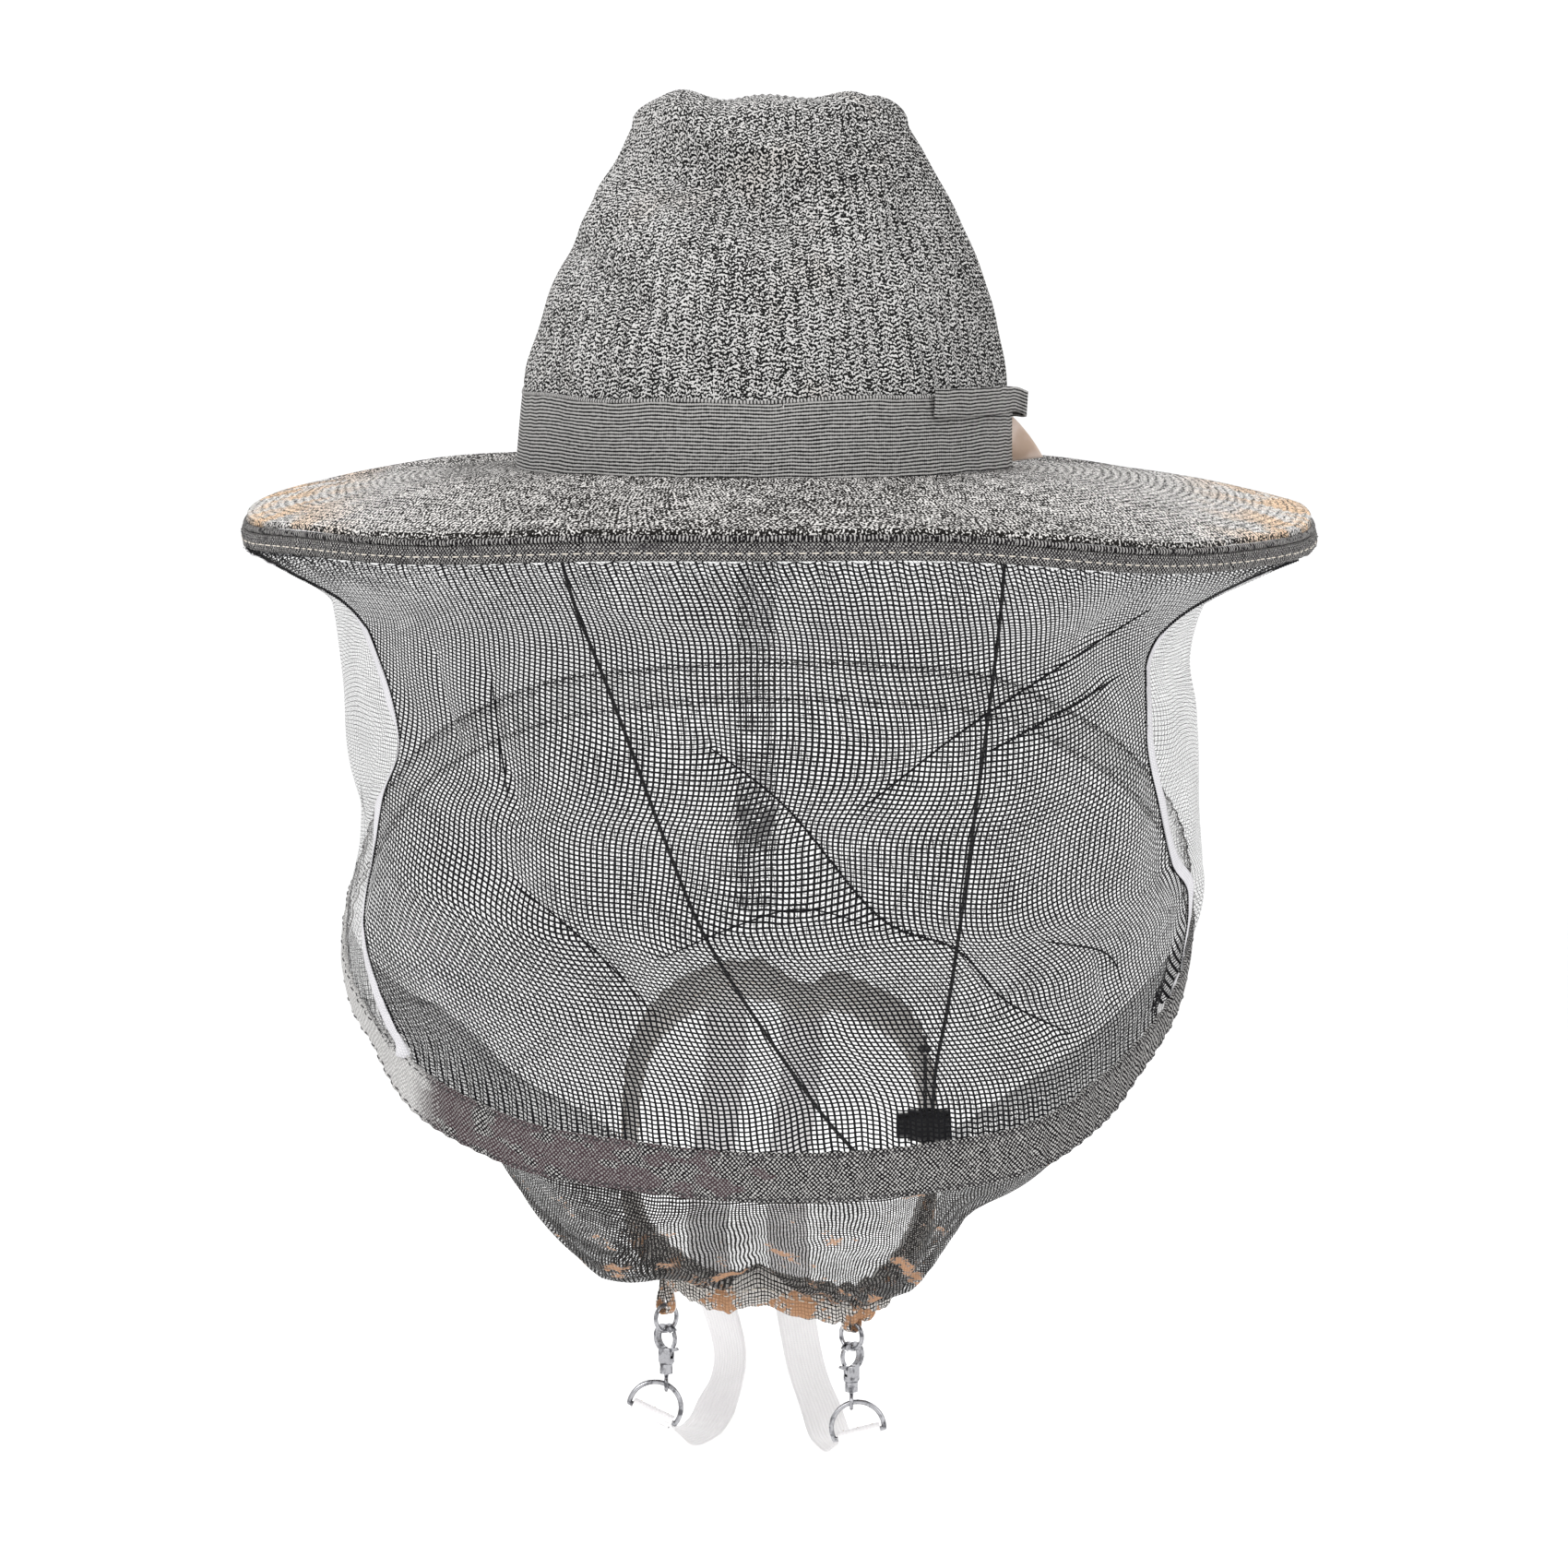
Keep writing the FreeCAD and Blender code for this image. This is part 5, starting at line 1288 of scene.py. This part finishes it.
# the tape over the centre-back seam, inside, from the binding down over the band to the skirt
tape_low, tape_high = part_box("back_seam_tape")
TAPE_X = -9.0
back_column = back_points[:, np.argmin(np.abs(back_points[60, :, 0] - TAPE_X))]
band_back = SEAM_CY + SEAM_Y
skirt_column = skirt_back_points[:, np.argmin(np.abs(skirt_back_points[30, :, 0] - TAPE_X))]
skirt_column = skirt_column[(skirt_column[:, 2] < -96) & (skirt_column[:, 2] > tape_low.z / MM)]
tape_points = [(TAPE_X, y - 1.6, z) for _, y, z in back_column[3:-4:8]]
tape_points += [(TAPE_X, band_back - 2.4, seam_level(band_back) + rise) for rise in (7.0, -6.0)]
tape_points += [(TAPE_X, y - 1.8, z) for _, y, z in skirt_column[2::8]]
tape_line = resample(tape_points, 90)
tape = ribbon_sheet("back_seam_tape_strip", tape_line, np.tile([1.0, 0, 0], (90, 1)),
                    (tape_high.x - tape_low.x) / MM, TAPE, 0.7, rows=10)
fit(tape, "dark_binding", "back_seam_tape")

hem_angle = full_turn(900)
# the casing's section round the elastic: how far out and how far above the neck opening
hem_profile = ((2.0, 0.4), (3.0, -1.2), (3.3, -4.0), (3.4, -7.0), (3.0, -9.6), (1.6, -11.6), (-0.6, -12.0),
               (-2.4, -10.8), (-3.0, -7.5), (-3.1, -4.0), (-2.6, -1.2), (-1.2, 0.4), (0.6, 0.8))
hem_rows = []
for out, rise in hem_profile:
    x, y = superellipse(hem_angle, NECK_X + out * 0.9, NECK_Y + out * 0.9, NECK_POWER)
    y = y + NECK_CY
    hem_rows.append(np.stack([x, y, neck_level(y) + rise + hem_sag(x, y)], -1))
hem_points = np.array(hem_rows)
hem_out = unit(hem_points - hem_points.mean(axis=0, keepdims=True))
hem_points += hem_out * (0.55 * hem_wave(hem_angle) + 0.25 * np.cos(97 * hem_angle))[None, :, None]
hem_closed = np.concatenate([hem_points, hem_points[:1]])
hem = grid("hem_casing_cloth", hem_closed, HEM, band_uv(hem_closed), wrap=True)
fit(hem, "hem_cloth", "hem_casing", "hem_elastic")
stitch_rings("hem_stitches", hem_points, hem_out, (("outside", 2, THREAD_PALE), ("inside", 9, THREAD_PALE)),
             "hem_cloth", length=2.2, gap=1.3, radius=0.24, lift=0.15)


# ---------------------------------------------------------------- chin cord

def rounded(points, per_corner=10):
    """Straight runs with a smooth curve at each corner, as a dense polyline in mm."""
    p = [np.array(q, float) for q in points]
    line = [p[0]]
    for a, b, c in zip(p, p[1:], p[2:]):
        arrive, leave = b - a, c - b
        short = 0.45 * min(np.linalg.norm(arrive), np.linalg.norm(leave))
        enter = b - arrive / np.linalg.norm(arrive) * short
        depart = b + leave / np.linalg.norm(leave) * short
        for t in np.linspace(0, 1, per_corner):
            line.append((1 - t) ** 2 * enter + 2 * t * (1 - t) * b + t * t * depart)
    line.append(p[-1])
    return even(np.array(line), 1.2)


def even(line, step):
    run = run_along(line)
    return points_at(np.linspace(0, run[-1], max(int(round(run[-1] / step)), 8) + 1), run, line)


# each strand's route from its eyelet through the lock to its knot
CHIN_ROUTES = {
    "left": [(-79.5, -8, -3), (-79.9, -8, -20), (-74, -10, -44), (-59.5, -13, -79), (-41.5, -17, -128),
             (-28.5, -20, -161), (-14.5, -23, -184), (2.5, -26, -209), (17, -29, -229), (29, -30.5, -242),
             (39, -30.2, -250), (47.6, -30, -250.6), (51.9, -30, -242.6), (51.6, -30, -231),
             (51.8, -30, -215), (51.6, -30, -205)],
    "right": [(79.5, -8, -3), (80.6, -8.6, -24), (78.5, -10.5, -52), (73.5, -14.5, -92), (68, -18.5, -132),
              (63.4, -22.5, -166), (59.6, -26.5, -190), (55.6, -29.6, -208), (54.4, -30, -222),
              (54.5, -30, -236), (54.4, -30, -248)],
}
for side, route in CHIN_ROUTES.items():
    line = rounded(route)
    cord = tube(f"chin_cord_{side}_braid", line, 0.66, CORD, around=14, pitch=4.8, lobes=4, depth=0.1)
    fit(cord, "black_cord", f"chin_cord_{side}")


def overhand_knot(name, node, side):
    """A small overhand knot with a short frayed tail, in place of a plain bead."""
    centre = centre_of(node)
    t = np.linspace(0.0, TAU, 90)
    trefoil = np.stack([np.sin(t) + 2 * np.sin(2 * t), np.cos(t) - 2 * np.cos(2 * t),
                        -1.3 * np.sin(3 * t)], 1)
    line = centre + trefoil * 0.52
    knot = tube(name, line, 0.85, CORD, around=10, pitch=4.0, lobes=4, depth=0.08, capped=False)
    fit(knot, "black_cord", node)
    # the left knot's tail stands up and the right one's hangs down
    rise = 1.0 if side == "left" else -1.0
    vertices, faces = [], []
    for strand in range(9):
        spread = np.array([math.cos(strand * 2.4), math.sin(strand * 2.4), 0.0]) * (0.25 + 0.1 * (strand % 3))
        fine = resample([centre + spread * s * 2 + [0, 0, rise * (1.2 + 3.6 * s)]
                         for s in (0.0, 0.4, 0.75, 1.0)], 7)
        _, a, b = frames_along(fine)
        base = len(vertices)
        for i, at in enumerate(fine):
            for k in range(4):
                turn = TAU * k / 4
                vertices.append(at + (a[i] * math.cos(turn) + b[i] * math.sin(turn)) * 0.16 * (1 - 0.08 * i))
        faces += ring_faces(base, len(fine), 4)
    fray = new_object(f"{name}_fray", vertices, faces, CORD)
    fit(fray, "black_cord")
    return [knot, fray]


knots = {side: overhand_knot(f"cord_knot_{side}_tied", f"cord_knot_{side}", side) for side in CHIN_ROUTES}


# ---------------------------------------------------------------- underarm straps

STRAP_ROUTES = {
    "left": {"sewn": (-20.0, 74.5, -200.1), "meet": (-27.0, 2.0, -345.5)},
    "right": {"sewn": (8.0, 74.5, -200.1), "meet": (18.0, 0.0, -347.5)},
}
# how far each strap sways sideways at four heights on its way down, and its twist near its foot in degrees
STRAP_SWAY = {"left": (-4.0, -4.0, 6.0, 3.0), "right": (-6.0, -8.0, -5.0, -1.0)}
STRAP_TWIST = {"left": 48.0, "right": -24.0}
LEAN = {"left": 26.0, "right": -14.0}   # how far each D-ring leans, in degrees
BAR_DROP = 11.5                         # from the D-ring's hanging point to its bar
STRAP_WIDTH, STRAP_THICK = 15.0, 1.1


def strap_line(side):
    """The strap from the back hem, forward and up to the D-ring, round its bar and back on itself."""
    spec = STRAP_ROUTES[side]
    sx, sy, sz = spec["sewn"]
    mx, my, mz = spec["meet"]
    drift = mx - sx
    low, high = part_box(f"d_ring_{side}")
    turn = math.radians(LEAN[side])
    swivel_low, swivel_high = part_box(f"swivel_post_{side}")
    post_x = (swivel_low.x + swivel_high.x) / 2 / MM
    y = (low.y + high.y) / 2 / MM
    top = swivel_low.z / MM + 0.7 * 2 + 0.9 + 0.4
    bar = np.array([post_x - BAR_DROP * math.sin(turn), y, top - BAR_DROP * math.cos(turn)])
    bar_axis = np.array([math.cos(turn), 0.0, -math.sin(turn)])
    bar_up = np.array([math.sin(turn), 0.0, math.cos(turn)])
    back = np.array([0.0, 1.0, 0.0])
    sway = STRAP_SWAY[side]
    hang = [(sx, sy, sz + 6), (sx, sy + 0.3, sz), (sx + 0.02 * drift, sy + 0.5, sz - 26),
            (sx + 0.15 * drift + sway[0], sy - 5, sz - 60), (sx + 0.35 * drift + sway[1], sy - 17, sz - 93),
            (sx + 0.6 * drift + sway[2], sy - 36, mz + 20), (sx + 0.85 * drift + sway[3], sy - 55, mz + 4),
            (mx, my, mz)]
    run = my - y
    under = bar - bar_up * 2.0
    turned = [
        (between(under[0], mx, 0.8), y + 0.7 * run, mz + 0.1),
        (between(under[0], mx, 0.45), y + 0.36 * run, between(under[2], mz, 0.84)),
        (between(under[0], mx, 0.15), y + 0.13 * run, between(under[2], mz, 0.34)),
    ]
    wrap = [bar + 1.95 * (math.cos(a) * bar_up + math.sin(a) * back) for a in
            np.radians((-196, -150, -105, -60, -15, 30, 72))]
    tail = [bar + back * 4.2 + bar_up * -1.0, bar + back * 8.2 + bar_up * -3.4]
    return [np.array(q, float) for q in hang + turned] + wrap + tail, bar, bar_axis


for side, spec in STRAP_ROUTES.items():
    controls, bar, bar_axis = strap_line(side)
    line = resample(controls, 220)
    near_bar = ease(60.0, 14.0, np.linalg.norm(line - bar, axis=1))[:, None]
    across = np.array([1.0, 0, 0]) * (1 - near_bar) + bar_axis * near_bar
    tangent = unit(np.gradient(line, axis=0))
    across = unit(across - tangent * np.sum(across * tangent, axis=1, keepdims=True))
    twist = np.radians(STRAP_TWIST[side]) * bump(line[:, 2], -318.0, 22.0) * (line[:, 1] > 24.0)
    twist = np.convolve(np.pad(twist, 6, mode="edge"), np.ones(13) / 13, mode="valid")[:, None]
    across = across * np.cos(twist) + np.cross(tangent, across) * np.sin(twist)
    width = STRAP_WIDTH + 0.25 * np.sin(run_along(line) / 9.0)
    strap = ribbon_sheet(f"strap_{side}_elastic", line, across, width, STRAP, STRAP_THICK, rows=18)
    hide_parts(f"strap_{side}", f"strap_end_{side}")
    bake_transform(strap)
    # the box of stitches that closes the folded end
    joint = line[-10:-1]
    normal = np.cross(tangent[-10:-1], across[-10:-1])
    for k, shift in enumerate((-5.2, 0.0, 5.2)):
        rowline = joint + across[-10:-1] * shift
        row = stitches(f"strap_{side}_stitches_{k}", rowline, -normal, THREAD_PALE, 1.4, 0.7, 0.22, 0.5)
        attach(row, f"d_ring_{side}")


# ---------------------------------------------------------------- ring tabs and hardware

for side, turn in (("left", 40.0), ("right", -40.0)):
    centre = centre_of(f"ring_tab_{side}")
    a = math.radians(turn)
    hole = np.array([math.cos(a), math.sin(a), 0.0])
    facing = np.array([-math.sin(a), math.cos(a), 0.0])
    up = np.array([0.0, 0.0, 1.0])
    half_loop = ((0.9, 9.0), (1.4, 6.0), (2.4, 3.0), (3.1, 0.6), (2.6, -1.8))
    loop = [(-f, u) for f, u in half_loop] + [(0.0, -3.1)] + list(half_loop[::-1])
    tab_line = resample([centre + facing * f + up * u for f, u in loop], 44)
    tab = ribbon_sheet(f"ring_tab_{side}_loop", tab_line, np.tile(hole, (44, 1)), 3.8, HEM, 0.7, rows=8)
    fit(tab, "hem_cloth", f"ring_tab_{side}")


def dress(node, material):
    """Gives a CAD node its material and smooth faces."""
    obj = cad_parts[node]
    obj.data.materials.clear()
    obj.data.materials.append(material)
    obj.data.polygons.foreach_set("use_smooth", [True] * len(obj.data.polygons))
    split = obj.modifiers.new("Edges", "EDGE_SPLIT")
    split.split_angle = math.radians(32)


for side in ("left", "right"):
    for part in ("hem_ring", "clasp_body", "clasp_trigger", "trigger_pin", "swivel_post", "d_ring"):
        dress(f"{part}_{side}", METAL)
    dress(f"trigger_spring_{side}", WIRE)
    dress(f"cord_eyelet_{side}", METAL)
dress("brim_wire", WIRE)
dress("cord_lock_spring", WIRE)
dress("cord_lock_barrel", PLASTIC)
dress("cord_lock_plunger", PLASTIC)


# ---------------------------------------------------------------- room

def stage_floor():
    """A pale floor that sweeps up into a backdrop far behind the object."""
    xs = np.linspace(-4, 4, 9)
    turn = np.linspace(0.1, math.pi / 2, 10)
    ys = np.concatenate([np.linspace(-4.0, 2.6, 12), 2.6 + 0.9 * np.sin(turn), np.full(6, 3.5)])
    zs = np.concatenate([np.full(12, 0.0), 0.9 - 0.9 * np.cos(turn), np.linspace(1.3, 4.5, 6)]) - 0.62
    points = np.stack(np.broadcast_arrays(xs[None, :], ys[:, None], zs[:, None]), 2) / MM
    s = Shader("PaleFloor", roughness=0.9)
    paint = s.mix(s.noise(400.0), (0.93, 0.93, 0.93), (0.97, 0.97, 0.97))
    floor = grid("floor", points, s.finish(paint))


stage_floor()
